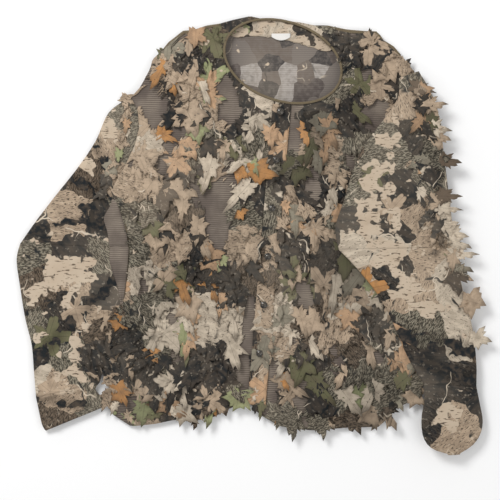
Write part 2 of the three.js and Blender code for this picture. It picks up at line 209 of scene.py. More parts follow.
def new_object(name, vertices, faces):
    mesh = bpy.data.meshes.new(name)
    mesh.from_pydata([tuple(v) for v in vertices], [], faces)
    mesh.update()
    mesh.polygons.foreach_set("use_smooth", [True] * len(mesh.polygons))
    piece = bpy.data.objects.new(name, mesh)
    bpy.context.scene.collection.objects.link(piece)
    return piece


def set_vectors(piece, name, values):
    attribute = piece.data.attributes.new(name, "FLOAT_VECTOR", "POINT")
    attribute.data.foreach_set("vector", np.array(values, np.float32).ravel())


def thicken(piece, thickness, offset=-1.0):
    solid = piece.modifiers.new("cloth_thickness", "SOLIDIFY")
    solid.thickness = thickness
    solid.offset = offset
    solid.use_even_offset = False


# ---- outlines of the laid-out jacket, in millimetres -----------------------------------------------

# right (-X) and left (+X) edges of the body: [height, x]
BODY_RIGHT_EDGE = [
    [-345, -262], [-300, -262], [-220, -250], [-150, -240], [-80, -230], [-30, -226], [0, -230],
    [40, -242], [73, -256], [101, -238], [150, -214], [180, -206], [211, -208], [235, -220],
    [250, -206], [267, -196], [286, -186], [302, -183], [309, -173], [333, -154], [350, -136], [380, -120],
]
BODY_LEFT_EDGE = [
    [-345, 280], [-288, 286], [-200, 290], [0, 292], [150, 291], [240, 286], [262, 282], [279, 274],
    [295, 262], [311, 248], [325, 237], [337, 216], [352, 208], [380, 190],
]
# hem tails and shoulders: [x, height]
RIGHT_HEM = [[-262, -300], [-252, -318], [-221, -338], [-180, -334], [-141, -326], [-120, -330], [-74, -321],
             [-51, -308], [-34, -301], [-13, -297], [20, -296]]
LEFT_HEM = [[-14, -297], [-3, -311], [11, -322], [40, -338], [62, -341], [94, -345], [124, -343], [160, -340],
            [211, -339], [225, -326], [240, -308], [263, -296], [286, -287]]
TOP_EDGE = [[-172, 309], [-153, 333], [-141, 342], [-129, 352], [-112, 353], [-88, 361], [-66, 364],
            [-45, 370], [-13, 377], [10, 372], [31, 370], [53, 368], [70, 367], [99, 361], [122, 361],
            [155, 354], [190, 351], [209, 351], [216, 337], [235, 326], [248, 311]]

# the two sleeves as rows across them: (outer edge, inner edge), from the shoulder to the cuff
RIGHT_UPPER_ROWS = [
    ((-186, 286), (-176, 130)), ((-206, 250), (-196, 105)), ((-228, 233), (-214, 84)),
    ((-260, 208), (-226, 66)), ((-283, 158), (-232, 50)), ((-314, 112), (-233, 33)),
    ((-349, 68), (-231, 14)), ((-386, 20), (-228, -6)), ((-414, -20), (-227, -27)),
]
RIGHT_LOWER_ROWS = [
    ((-414, -20), (-227, -27)), ((-420, -48), (-228, -55)), ((-414, -95), (-233, -95)),
    ((-405, -150), (-241, -138)), ((-394, -195), (-254, -182)), ((-390, -240), (-265, -222)),
    ((-386, -288), (-276, -262)),
]
RIGHT_CUFF_ROWS = [
    ((-386, -288), (-276, -262)), ((-381, -312), (-283, -274)), ((-376, -334), (-270, -290)),
    ((-371, -344), (-268, -302)),
]
LEFT_UPPER_ROWS = [
    ((280, 280), (246, 268)), ((298, 246), (244, 236)), ((311, 212), (228, 208)),
    ((319, 178), (202, 174)), ((321, 148), (182, 146)), ((327, 102), (166, 108)),
    ((333, 54), (150, 56)), ((339, 8), (135, 8)), ((347, -26), (141, -30)),
]
LEFT_LOWER_ROWS = [
    ((347, -26), (141, -30)), ((348, -58), (170, -60)), ((357, -103), (204, -102)),
    ((368, -142), (230, -146)), ((376, -185), (248, -190)), ((380, -230), (268, -230)),
    ((380, -268), (288, -262)),
]
LEFT_CUFF_ROWS = [
    ((380, -268), (288, -262)), ((386, -298), (289, -292)), ((391, -326), (284, -322)),
    ((387, -350), (287, -354)), ((373, -370), (302, -374)), ((352, -383), (330, -384)),
]

RIGHT_ROWS = (RIGHT_UPPER_ROWS, RIGHT_LOWER_ROWS, RIGHT_CUFF_ROWS)
LEFT_ROWS = (LEFT_UPPER_ROWS, LEFT_LOWER_ROWS, LEFT_CUFF_ROWS)

# the front edge, and the neck opening, as the CAD has them
FRONT_EDGE_X, FRONT_EDGE_Y, FRONT_LEAN = 30, 218, 0.085
UNDER_LAP = 28
NECK_X, NECK_Y, NECK_LONG, NECK_SHORT, NECK_TURN = 44, 298, 106, 70, -0.33

# heights of the layers, read from the frame
BACK_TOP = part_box("back_mesh_panel")[1].z
FRONT_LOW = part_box("left_front_mesh")[0].z
LEFT_SLEEVE_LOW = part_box("left_upper_sleeve_back")[0].z
RIGHT_SLEEVE_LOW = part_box("right_upper_sleeve_back")[0].z
SIDE_SEAM_Z = (BACK_TOP + FRONT_LOW) / 2

CLOTH_THICKNESS = 0.0007
GRID = 0.0055  # spacing of the cloth's mesh


def front_line(y, offset=0.0):
    """The x, in millimetres, of a line parallel to the front edge."""
    return FRONT_EDGE_X + (y - FRONT_EDGE_Y) * FRONT_LEAN + offset


def neck_shares(x, y):
    """A place in the frame as shares of the neck opening's long and short half-widths, from its middle."""
    xm, ym = millimetres(x, y)
    dx, dy = xm - NECK_X, ym - NECK_Y
    along = dx * math.cos(NECK_TURN) + dy * math.sin(NECK_TURN)
    off = dy * math.cos(NECK_TURN) - dx * math.sin(NECK_TURN)
    return along / NECK_LONG, off / NECK_SHORT


def neck_distance(x, y):
    """Below 1 inside the neck opening, above 1 outside it."""
    return math.hypot(*neck_shares(x, y))


def neck_point(angle, grow=0.0):
    """The place at an angle round the neck's rim, moved out by grow millimetres."""
    along = (NECK_LONG + grow) * math.cos(angle)
    off = (NECK_SHORT + grow) * math.sin(angle)
    x = NECK_X + along * math.cos(NECK_TURN) - off * math.sin(NECK_TURN)
    y = NECK_Y + along * math.sin(NECK_TURN) + off * math.cos(NECK_TURN)
    return at(x, y)


# ---- heights of the cloth ------------------------------------------------------------------------


def edge_fall(x, y):
    """0 at the body's side and hem edges, rising to 1 a little way in."""
    xm, ym = millimetres(x, y)
    armhole = smooth(30, 75, ym) * smooth(320, 285, ym)
    right = xm - curve_at(BODY_RIGHT_EDGE, ym) + 40 * armhole
    left = curve_at(BODY_LEFT_EDGE, ym) - xm
    hem_curve = RIGHT_HEM if xm < front_line(-300) else LEFT_HEM
    hem = ym - curve_at(hem_curve, xm)
    top = curve_at(TOP_EDGE, xm) - ym
    return smooth(-4, 26, min(right, left, hem * 0.9, top * 0.9))


def front_height(x, y):
    """The front's base cloth: level over the body's hollow, with creases, falling to the seams."""
    relief = 0.0036 * wrinkle(x, y, 0.085, 1.7) + 0.0034 * ridges(x, y, 0.11, 4.2)
    if under_left_sleeve(x, y):
        relief *= 0.4
    crest = FRONT_LOW + 0.001 + relief
    return SIDE_SEAM_Z - 0.002 + (crest - SIDE_SEAM_Z + 0.002) * edge_fall(x, y)


def back_height(x, y):
    inside = edge_fall(x, y)
    flat = 0.0042 + 0.0008 * wrinkle(x, y, 0.07, 9.1)
    return SIDE_SEAM_Z - 0.003 - (SIDE_SEAM_Z - 0.003 - flat) * inside


# ---- materials -----------------------------------------------------------------------------------


def srgb(r, g, b):
    """A colour as a screen shows it, 0 to 255, turned to the linear light that shaders use."""
    shares = [c / 255 for c in (r, g, b)]
    linear = [c / 12.92 if c <= 0.0405 else ((c + 0.055) / 1.055) ** 2.4 for c in shares]
    return (*linear, 1.0)


TAN = srgb(188, 166, 142)
CREAM = srgb(212, 197, 176)
PEACH = srgb(200, 164, 130)
ORANGE = srgb(190, 138, 86)
PALE_GREEN = srgb(158, 162, 120)
OLIVE = srgb(112, 110, 82)
CHARCOAL = srgb(36, 39, 41)
BLACK_BROWN = srgb(16, 15, 14)
BARK = srgb(148, 141, 124)
BARK_BROWN = srgb(106, 92, 78)
NET = srgb(96, 86, 80)
WRONG_SIDE = srgb(120, 112, 106)


class Graph:
    """Writes a material's nodes as short expressions; a value is a number, a tuple or a socket."""

    def __init__(self, name):
        self.material = bpy.data.materials.new(name)
        self.material.use_nodes = True
        self.tree = self.material.node_tree
        self.shader = self.tree.nodes["Principled BSDF"]

    def node(self, kind, **properties):
        made = self.tree.nodes.new("ShaderNode" + kind)
        for key, value in properties.items():
            setattr(made, key, value)
        return made

    def feed(self, socket, value):
        if isinstance(value, bpy.types.NodeSocket):
            self.tree.links.new(value, socket)
        else:
            socket.default_value = value

    def math(self, operation, *values, clamp=False):
        made = self.node("Math", operation=operation, use_clamp=clamp)
        for socket, value in zip(made.inputs, values):
            self.feed(socket, value)
        return made.outputs[0]

    def vector(self, operation, a, b=None, scale=None):
        made = self.node("VectorMath", operation=operation)
        self.feed(made.inputs[0], a)
        if b is not None:
            self.feed(made.inputs[1], b)
        if scale is not None:
            self.feed(made.inputs["Scale"], scale)
        return made.outputs["Value" if operation in ("LENGTH", "DOT_PRODUCT") else "Vector"]

    def split(self, vector):
        made = self.node("SeparateXYZ")
        self.feed(made.inputs[0], vector)
        return made.outputs

    def mix(self, share, a, b):
        made = self.node("Mix", data_type="RGBA")
        self.feed(made.inputs["Factor"], share)
        self.feed(made.inputs[6], a)
        self.feed(made.inputs[7], b)
        return made.outputs[2]

    def step(self, value, low, high):
        """0 below low, 1 above high, smooth between."""
        made = self.node("MapRange", interpolation_type="SMOOTHSTEP")
        for socket, number in zip(made.inputs, (value, low, high, 0.0, 1.0)):
            self.feed(socket, number)
        return made.outputs[0]

    def noise(self, vector, scale, detail=3.0, roughness=0.55, distortion=0.0):
        made = self.node("TexNoise", noise_dimensions="3D")
        self.feed(made.inputs["Vector"], vector)
        made.inputs["Scale"].default_value = scale
        made.inputs["Detail"].default_value = detail
        made.inputs["Roughness"].default_value = roughness
        made.inputs["Distortion"].default_value = distortion
        return made.outputs["Fac"]

    def wander(self, vector, scale):
        """Three noises centred on nothing, to shift a place by."""
        made = self.node("TexNoise", noise_dimensions="3D")
        self.feed(made.inputs["Vector"], vector)
        made.inputs["Scale"].default_value = scale
        made.inputs["Detail"].default_value = 2.0
        return self.vector("SUBTRACT", made.outputs["Color"], (0.5, 0.5, 0.5))

    def shifted(self, vector, scale, reach):
        """A place moved about by up to half of reach metres, in waves set by scale."""
        return self.vector("ADD", vector, self.vector("SCALE", self.wander(vector, scale), scale=reach))

    def flat(self, vector):
        """A place without its height."""
        x, y, _ = self.split(vector)
        made = self.node("CombineXYZ")
        self.feed(made.inputs[0], x)
        self.feed(made.inputs[1], y)
        return made.outputs[0]

    def cells(self, vector, scale, feature="F1", randomness=1.0):
        """A flat pattern of cells, as its node."""
        made = self.node("TexVoronoi", voronoi_dimensions="2D", feature=feature)
        made.inputs["Scale"].default_value = scale
        made.inputs["Randomness"].default_value = randomness
        self.feed(made.inputs["Vector"], vector)
        return made

    def ramp(self, value, stops):
        """Bands of colour without blending between them."""
        made = self.node("ValToRGB")
        made.color_ramp.interpolation = "CONSTANT"
        elements = made.color_ramp.elements
        while len(elements) < len(stops):
            elements.new(0.5)
        for element, (place, colour) in zip(elements, stops):
            element.position = place
            element.color = colour
        self.feed(made.inputs[0], value)
        return made.outputs[0]

    def attribute(self, name):
        made = self.node("Attribute", attribute_type="GEOMETRY", attribute_name=name)
        return made.outputs["Vector"]

    def finish(self, colour, roughness, height=None, depth=0.0005, strength=0.6, sheen=0.03):
        self.feed(self.shader.inputs["Base Color"], colour)
        self.shader.inputs["Roughness"].default_value = roughness
        self.shader.inputs["Specular IOR Level"].default_value = 0.12
        self.shader.inputs["Sheen Weight"].default_value = sheen
        if height is not None:
            bump = self.node("Bump")
            bump.inputs["Strength"].default_value = strength
            bump.inputs["Distance"].default_value = depth
            self.feed(bump.inputs["Height"], height)
            self.feed(self.shader.inputs["Normal"], bump.outputs[0])
        return self.material


def printed_leaves(g, where, cell, seed, palette, rare):
    """One scatter of printed lobed leaves: (colour, cover). cell is their spacing in metres."""
    scaled = g.vector("ADD", g.vector("SCALE", where, scale=1 / cell), seed)
    cells = g.cells(scaled, 1.0, randomness=0.9)
    dice = g.split(cells.outputs["Color"])
    local = g.vector("SUBTRACT", scaled, cells.outputs["Position"])
    x, y, _ = g.split(local)
    angle = g.math("ADD", g.math("ARCTAN2", y, x), g.math("MULTIPLY", dice[0], 6.283))
    radius = g.vector("LENGTH", g.flat(local))
    lobe = g.math("ABSOLUTE", g.math("COSINE", g.math("MULTIPLY", angle, 2.5)))
    lobe = g.math("POWER", lobe, 1.6)
    teeth = g.math("ABSOLUTE", g.math("SINE", g.math("MULTIPLY", angle, 9.5)))
    long = g.math("MULTIPLY", g.math("COSINE", angle), 0.08)
    edge = g.math("ADD", g.math("MULTIPLY_ADD", lobe, 0.27, 0.12), g.math("MULTIPLY_ADD", teeth, 0.07, long))
    inside = g.math("SUBTRACT", edge, radius)
    cover = g.math("MULTIPLY", g.step(inside, 0.0, 0.02), g.math("GREATER_THAN", dice[1], rare))
    vein = g.math("MULTIPLY", g.math("ABSOLUTE", g.math("SINE", g.math("MULTIPLY", angle, 2.5))), radius)
    bowed = g.math("ADD", radius, g.math("MULTIPLY", lobe, -0.2))
    fine = g.math("ABSOLUTE", g.math("SINE", g.math("MULTIPLY", bowed, 60)))
    lines = g.math("MAXIMUM", g.step(vein, 0.022, 0.006), g.math("MULTIPLY", g.step(fine, 0.25, 0.0), 0.45))
    tone = g.ramp(dice[2], palette)
    mottled = g.mix(g.step(g.noise(where, 90), 0.35, 0.75), tone, g.mix(0.4, tone, BARK_BROWN))
    veined = g.mix(g.math("MULTIPLY", lines, 0.5), mottled, g.mix(0.7, tone, BLACK_BROWN))
    rimmed = g.mix(g.math("MULTIPLY", g.step(inside, 0.05, 0.0), 0.45), veined, BLACK_BROWN)
    return rimmed, cover


# Each stop is where its colour starts, as a share of the dice thrown for a leaf or a patch.
LEAF_PALETTE = [
    (0.0, TAN), (0.34, CREAM), (0.48, PEACH), (0.62, PALE_GREEN), (0.74, ORANGE), (0.82, BARK), (0.92, OLIVE),
]
PATCH_PALETTE = [(0.0, CHARCOAL), (0.3, BARK), (0.5, TAN), (0.68, BARK_BROWN), (0.78, CREAM), (0.9, CHARCOAL)]
# How much of each patch its dark cracks take up, at the same stops as the patches.
DASH_SHARES = [(0.0, 0.3), (0.3, 0.51), (0.5, 0.41), (0.68, 0.48), (0.78, 0.37), (0.9, 0.43)]


PATCH_SIZE = 0.062


def bark(g, where):
    """Patches of shadow and of bark; each patch of bark has its own run of short dark cracks."""
    cells = g.cells(g.shifted(where, 42.0, 0.034), 1 / PATCH_SIZE)
    dice = g.split(cells.outputs["Color"])
    turned = g.node("VectorRotate", rotation_type="Z_AXIS")
    g.feed(turned.inputs["Vector"], where)
    g.feed(turned.inputs["Angle"], g.math("MULTIPLY", dice[0], 3.1))
    along = g.vector("MULTIPLY", turned.outputs[0], (1.0, 0.27, 1.0))
    cracks = g.noise(along, 600.0, 2.0, 0.5, 0.5)
    broad = g.noise(along, 120.0, 2.0)
    shares = g.ramp(dice[1], [(place, (share, share, share, 1)) for place, share in DASH_SHARES])
    ground = g.ramp(dice[1], PATCH_PALETTE)
    varied = g.mix(g.step(broad, 0.35, 0.7), g.mix(0.4, ground, BARK_BROWN), ground)
    paler = g.mix(g.step(g.noise(where, 150.0, 2.0), 0.58, 0.72), varied, g.mix(0.35, ground, CREAM))
    margin = g.math("SUBTRACT", cracks, shares)
    return g.mix(g.math("MULTIPLY", g.step(margin, 0.03, -0.03), 0.8), paler, BLACK_BROWN)


def twigs(g, where, colour):
    """Crooked twigs and their pale edges, over a colour."""
    bent = g.shifted(where, 26.0, 0.05)
    for spacing, thick, paint in ((0.085, 0.03, CHARCOAL), (0.075, 0.014, CREAM)):
        cells = g.cells(g.vector("MULTIPLY", bent, (1.0, 0.55, 1.0)), 1 / spacing, "DISTANCE_TO_EDGE")
        broken = g.step(g.noise(where, 17.0), 0.5, 0.58)
        line = g.math("MULTIPLY", g.step(cells.outputs["Distance"], thick, thick * 0.4), broken)
        colour = g.mix(line, colour, paint)
    return colour


def camouflage(g, where, rare=0.7):
    """The running print: bark, twigs and two scatters of fallen leaves, fewer where rare is higher."""
    colour = twigs(g, where, bark(g, where))
    for cell, seed in ((0.086, (3.1, 7.7, 0)), (0.068, (1.3, 2.9, 0))):
        leaf, cover = printed_leaves(g, where, cell, seed, LEAF_PALETTE, rare)
        colour = g.mix(cover, colour, leaf)
    return colour


def weave(g, where):
    """The height of a fine plain weave."""
    x, y, _ = g.split(where)
    warp = g.math("SINE", g.math("MULTIPLY", x, 7500.0))
    weft = g.math("SINE", g.math("MULTIPLY", y, 7500.0))
    return g.math("MULTIPLY_ADD", g.math("MULTIPLY", warp, weft), 0.5, g.noise(where, 260.0, 2.0))


def toned(g, colour, where):
    """Darkens a colour where the piece's tone is low, towards printed dark branches and painted shade of
    folds and hollows, and lightens it to the pale print where the tone is high, with ragged edges; and adds
    patches of wear.
    """
    tone = g.split(g.attribute("tone"))[0]
    rag = g.math("MULTIPLY_ADD", g.noise(where, 40.0, 2.0, 0.5), 1.6, -0.8)
    worn = g.mix(g.step(g.noise(where, 6.0, 2.0), 0.35, 0.75), colour, g.mix(0.16, colour, CREAM))
    streaks = g.noise(g.vector("MULTIPLY", where, (0.25, 1.0, 1.0)), 300.0, 3.0)
    dashed = g.mix(g.step(streaks, 0.42, 0.38), g.mix(g.noise(where, 30.0), TAN, CREAM), BARK_BROWN)
    light = g.mix(g.step(g.math("ADD", tone, rag), 0.25, 0.3), worn, dashed)
    # Below zero the tone darkens the colour towards black: printed dark branches, and painted shade along the
    # sleeves' folds and in the armpit's hollow.
    branch_and_shade_darkened = g.mix(g.math("MULTIPLY", tone, -0.7, clamp=True), light, BLACK_BROWN)
    # Ragged charcoal where the tone is lowest: printed branches, and painted shade in the deepest folds and
    # the armpit's hollow.
    dark_branch_and_shade = g.mix(g.step(g.noise(where, 90.0, 3.0), 0.4, 0.7), CHARCOAL, g.mix(0.5, CHARCOAL, BARK_BROWN))
    return g.mix(g.step(g.math("ADD", tone, rag), -0.5, -0.56), branch_and_shade_darkened, dark_branch_and_shade)


def shaded(g, colour, where):
    """A loose leaf's painted light and shade from its tone, and its wear."""
    tone = g.split(g.attribute("tone"))[0]
    worn = g.mix(g.step(g.noise(where, 6.0, 2.0), 0.35, 0.75), colour, g.mix(0.12, colour, CREAM))
    # Painted shade towards black where the tone is below zero, and painted light towards tan where it is
    # above.
    dark = g.mix(g.math("MULTIPLY", tone, -1.0, clamp=True), worn, BLACK_BROWN)
    return g.mix(g.math("MULTIPLY", tone, 0.7, clamp=True), dark, TAN)


def print_material(name, rare):
    g = Graph(name)
    where = g.attribute("print")
    return g.finish(toned(g, camouflage(g, where, rare), where), 0.86, weave(g, where))


def leaf_material(name):
    """The leaf-cut cloth: running print on some leaves, and on others one whole printed leaf with its veins
    and painted shade towards its edge.
    """
    g = Graph(name)
    where = g.attribute("print")
    x, y, whole = g.split(g.attribute("leaf"))
    tint = g.attribute("tint")
    side = g.math("ABSOLUTE", x)
    rib = g.step(side, 0.022, 0.006)
    slant = g.math("SUBTRACT", y, g.math("MULTIPLY", side, 0.9))
    comb = g.math("ABSOLUTE", g.math("SINE", g.math("MULTIPLY", slant, 19.0)))
    veins = g.math("MAXIMUM", rib, g.math("MULTIPLY", g.step(comb, 0.16, 0.03), 0.6))
    blotch = g.mix(g.step(g.noise(where, 70.0, 4.0), 0.4, 0.68), tint, g.mix(0.4, tint, BARK_BROWN))
    freckled = g.mix(g.step(g.noise(where, 210.0, 2.0), 0.66, 0.72), blotch, BLACK_BROWN)
    leaf = g.mix(g.math("MULTIPLY", veins, 0.42), freckled, g.mix(0.75, tint, BLACK_BROWN))
    reach = g.math("SQRT", g.math("ADD", g.math("MULTIPLY", x, x), g.math("MULTIPLY", y, y)))
    # rim: painted shade darkening each whole printed leaf towards its edge.
    rim = g.math("MULTIPLY", g.step(g.math("ADD", reach, g.noise(where, 60.0, 3.0)), 1.05, 1.45), 0.4)
    edge_shaded = g.mix(rim, leaf, g.mix(0.4, BARK_BROWN, BLACK_BROWN))
    colour = g.mix(whole, camouflage(g, where), edge_shaded)
    return g.finish(shaded(g, colour, where), 0.84, weave(g, where))


RIBS = 1900.0  # radians of rib for each metre of netting, so about 300 ribs


def net_material(name):
    """Ribbed mesh: fine raised courses with rows of small holes between them; the darker grooves and the dark
    holes are painted shade.
    """
    g = Graph(name)
    where = g.attribute("print")
    x, y, _ = g.split(where)
    wander = g.math("MULTIPLY", g.noise(where, 30.0, 2.0), 0.004)
    rows = g.math("SINE", g.math("MULTIPLY", g.math("ADD", y, wander), RIBS))
    holes = g.math("MULTIPLY", g.math("SINE", g.math("MULTIPLY", x, 3600.0)), g.step(rows, 0.1, -0.7))
    light = g.mix(g.step(g.noise(where, 24.0), 0.35, 0.7), NET, g.mix(0.22, NET, CREAM))
    # ribbed: painted shade in the grooves between the courses.
    ribbed = g.mix(g.step(rows, 0.4, -0.9), light, g.mix(0.2, NET, BLACK_BROWN))
    # pierced: painted shade seen through the holes.
    pierced = g.mix(g.math("MULTIPLY", g.step(holes, 0.1, 0.6), 0.4), ribbed, BLACK_BROWN)
    return g.finish(shaded(g, pierced, where), 0.9, rows, depth=0.0003, strength=0.3)


WRONG_PALETTE = [
    (0.0, WRONG_SIDE), (0.3, srgb(88, 80, 77)), (0.5, srgb(168, 161, 155)), (0.66, srgb(60, 58, 60)),
    (0.8, srgb(108, 98, 91)),
]
WASHED_PATCH = 0.03


def wrong_side_material(name):
    """The inside of the back: ribbed netting, and the outer cloth's print showing washed out through it."""
    g = Graph(name)
    where = g.attribute("print")
    y = g.split(where)[1]
    cells = g.cells(g.shifted(where, 60.0, 0.008), 1 / WASHED_PATCH)
    shapes = g.ramp(g.split(cells.outputs["Color"])[0], WRONG_PALETTE)
    mottled = g.mix(g.step(g.noise(where, 120.0, 4.0), 0.4, 0.65), shapes, g.mix(0.5, shapes, WRONG_SIDE))
    lined = twigs(g, where, mottled)
    faint = g.mix(0.4, lined, mottled)
    ribs = g.math("SINE", g.math("MULTIPLY", y, RIBS))
    # The darker grooves between the ribs are painted shade.
    ribbed = g.mix(g.math("MULTIPLY", g.step(ribs, 0.3, -0.9), 0.22), faint, BLACK_BROWN)
    return g.finish(toned(g, ribbed, where), 0.9, ribs, depth=0.0003, strength=0.3)


def binding_material(name, ground):
    """Folded tape with a row of stitches along it; its print attribute is (across, along)."""
    g = Graph(name)
    where = g.attribute("print")
    x, y, _ = g.split(where)
    mottle = g.mix(g.step(g.noise(where, 60.0, 4.0), 0.4, 0.66), ground, g.mix(0.5, ground, BARK_BROWN))
    dash = g.step(g.math("SINE", g.math("MULTIPLY", y, 2100.0)), -0.2, 0.2)
    seam = g.step(g.math("ABSOLUTE", g.math("SUBTRACT", g.math("ABSOLUTE", x), 0.0028)), 0.0005, 0.0002)
    stitched = g.mix(g.math("MULTIPLY", dash, seam), mottle, g.mix(0.5, ground, CREAM))
    return g.finish(stitched, 0.85, weave(g, where))


def plain_material(name, colour, roughness, grain, metallic=0.0, coat=0.0):
    """A label, an elastic or a lacquered stud: one colour with a fine grain and slight wear."""
    g = Graph(name)
    where = g.node("TexCoord").outputs["Object"]
    grains = g.noise(where, grain, 4.0)
    tone = g.mix(g.step(grains, 0.35, 0.75), colour, g.mix(0.25, colour, CREAM))
    made = g.finish(tone, roughness, grains, depth=0.0001, strength=0.3, sheen=0.0)
    g.shader.inputs["Metallic"].default_value = metallic
    g.shader.inputs["Coat Weight"].default_value = coat
    return made


# ---- panels of cloth -----------------------------------------------------------------------------

YOKE_X = (-60, 160)  # the strip above the neck is sewn to the back, and stays when the fronts open


def on_yoke(x, y):
    xm, ym = millimetres(x, y)
    return ym > NECK_Y and YOKE_X[0] < xm < YOKE_X[1] and neck_distance(x, y) > 1


def grid_faces(columns, rows):
    """Quads of a grid whose points run across first, then up."""
    wide = columns + 1
    return [
        (j * wide + i, j * wide + i + 1, (j + 1) * wide + i + 1, (j + 1) * wide + i)
        for j in range(rows)
        for i in range(columns)
    ]


def onto_neck_edge(x, y):
    """The place on the neck's rim in the direction of a place."""
    along, off = neck_shares(x, y)
    return neck_point(math.atan2(off, along))


def panel(name, side_a, side_b, hem, top, height, print_shift, cut_neck=True, grid=GRID, cut_away=None):
    """A sheet of cloth between four edges, each a function of the other axis, in millimetres.

    cut_away(x, y) says where the sheet has been cut out, with an edge of short slanting snips.
    """
    columns = round((side_b(0) - side_a(0)) * MM / grid)
    rows = round((top(0) - hem(0)) * MM / grid)
    points = []
    for j in range(rows + 1):
        for i in range(columns + 1):
            u, v = i / columns, j / rows
            x = side_a(0) + (side_b(0) - side_a(0)) * u
            for _ in range(6):
                y = hem(x) + (top(x) - hem(x)) * v
                x = side_a(y) + (side_b(y) - side_a(y)) * u
            points.append(at(x, y))
    faces = grid_faces(columns, rows)
    if cut_neck:
        inside = [neck_distance(x, y) < 1 for x, y in points]
        faces = [face for face in faces if not all(inside[k] for k in face)]
        edge = {k for face in faces for k in face if inside[k]}
        points = [onto_neck_edge(*p) if k in edge else p for k, p in enumerate(points)]
    if cut_away:
        halves = [half for a, b, c, d in faces for half in ((a, b, c), (a, c, d))]
        middles = [[sum(points[k][i] for k in half) / 3 for i in (0, 1)] for half in halves]
        faces = [half for half, middle in zip(halves, middles) if not cut_away(*middle)]
    used = sorted({k for face in faces for k in face})
    place = {k: n for n, k in enumerate(used)}
    vertices = [(points[k][0], points[k][1], height(*points[k])) for k in used]
    piece = new_object(name, vertices, [tuple(place[k] for k in face) for face in faces])
    set_vectors(piece, "print", [(x + print_shift[0], y + print_shift[1], 0) for x, y, _ in vertices])
    thicken(piece, CLOTH_THICKNESS)
    return piece


# ---- sleeves -------------------------------------------------------------------------------------

# Dark branches printed across the sleeves, and painted shade along their folds and in the right armpit's
# hollow: (from, to, half width), in millimetres.
SLEEVE_SHADOWS = (
    ((-250, -84), (-398, -232), 15),
    ((-400, 2), (-290, 26), 9),
    ((-300, 44), (-262, 8), 20),
    ((-395, -290), (-300, -300), 12),
    ((250, -176), (372, -206), 20),
    ((290, -226), (378, -256), 20),
    ((-296, 196), (-268, 120), 12),
    ((-330, 100), (-262, 60), 14),
    ((-404, -140), (-360, -120), 7),
)
# Places where the print is mostly light: (centre, radius).
SLEEVE_LIGHTS = (
    ((-340, -70), 62), ((-300, -60), 40), ((-378, -110), 44), ((-300, -150), 46), ((-372, -190), 30),
    ((-312, -205), 46), ((-330, -250), 40), ((-262, 176), 36), ((-300, 122), 26),
    ((222, 150), 34), ((206, 92), 52), ((200, 30), 60), ((226, -30), 56), ((262, -92), 46), ((300, -138), 34),
    ((335, -320), 40),
)
# Folds across the sleeves: the cloth above each line hangs over the cloth below it.
SLEEVE_FOLDS = (
    ((-398, -16), (-262, 20)), ((-396, -296), (-280, -268)),
    ((300, -372), (385, -318)), ((150, 34), (250, -6)),
)
FOLD_RISE, FOLD_REACH = 0.0042, 30


def fold_lift(x, y):
    """How far the cloth stands up just above a fold; it drops away at the fold itself."""
    here = Vector(millimetres(x, y))
    lift = 0.0
    for start, end in SLEEVE_FOLDS:
        a, b = Vector(start), Vector(end)
        along = (b - a).normalized()
        share = (here - a).dot(along) / (b - a).length
        above = (here - a).dot(Vector((-along.y, along.x))) + 2.5 * noise.noise(Vector((x * 50, y * 50, 2)))
        if 0 < share < 1 and 0 < above < FOLD_REACH:
            ends = smooth(0, 0.15, share) * smooth(1, 0.85, share)
            lift = max(lift, FOLD_RISE * (1 - above / FOLD_REACH) * ends)
    return lift


def sleeve_tone(x, y):
    """The light and dark of a sleeve: pale print, dark printed branches, and painted shade along folds and in
    the armpit's hollow; -1 is black, 1 is pale tan.
    """
    here = Vector(millimetres(x, y))
    tone = 0.0
    for centre, radius in SLEEVE_LIGHTS:
        tone = max(tone, 0.4 * smooth(radius, radius * 0.3, (here - Vector(centre)).length))
    ragged = 7 * noise.noise(Vector((x * 60, y * 60, 5.0)))
    # Painted shade along the folds and in the armpit's hollow, and printed dark branches, pull the tone down.
    for start, end, half in SLEEVE_SHADOWS:
        a, b = Vector(start), Vector(end)
        share = min(1.0, max(0.0, (here - a).dot(b - a) / (b - a).length_squared))
        gap = (here - a.lerp(b, share)).length + ragged
        if gap < half:
            tone = min(tone, -0.6 * smooth(half, half * 0.5, gap))
    return tone


SLEEVE_PARTS = ("upper_sleeve", "forearm", "cuff")
SLEEVE_AROUND = 56
BACK_PRINT_SHIFT = 0.31  # so that the back of a sleeve doesn't repeat its front
TUCK_RINGS = ((0.97, 0.002), (0.9, -0.006), (0.86, -0.018))  # (share of the opening, depth past it)
SLEEVE_THICKNESS = 0.0125
SECTION_POWER = 0.55  # flattens the tube's section from an ellipse towards a slab


def squared(value):
    """A sine or cosine pushed out towards 1, which squares off a round section."""
    return math.copysign(abs(value) ** SECTION_POWER, value)


def sleeve_point(rows, t, angle, low, fullness, seed):
    """A point on the flattened tube: t along it, angle round it; low(x, y) is the height of its underside."""
    flat = [list(outer) + list(inner) for outer, inner in rows]
    ox, oy, ix, iy = catmull(flat, t)
    share = 0.5 - 0.5 * squared(math.cos(angle))
    x, y = at(ox + (ix - ox) * share, oy + (iy - oy) * share)
    up = squared(math.sin(angle))
    share_full = fullness(x, y)
    full = SLEEVE_THICKNESS * share_full * (0.9 + 0.12 * noise.noise(Vector((x * 14, y * 14, seed))))
    crease = 0.0028 * ridges(x, y, 0.06, seed) + 0.0014 * wrinkle(x, y, 0.05, seed + 2)
    crease *= smooth(0.4, 1.0, share_full)
    z = low(x, y) + full * (0.5 + 0.5 * up) + (crease + fold_lift(x, y)) * max(0.0, up)
    return x, y, z


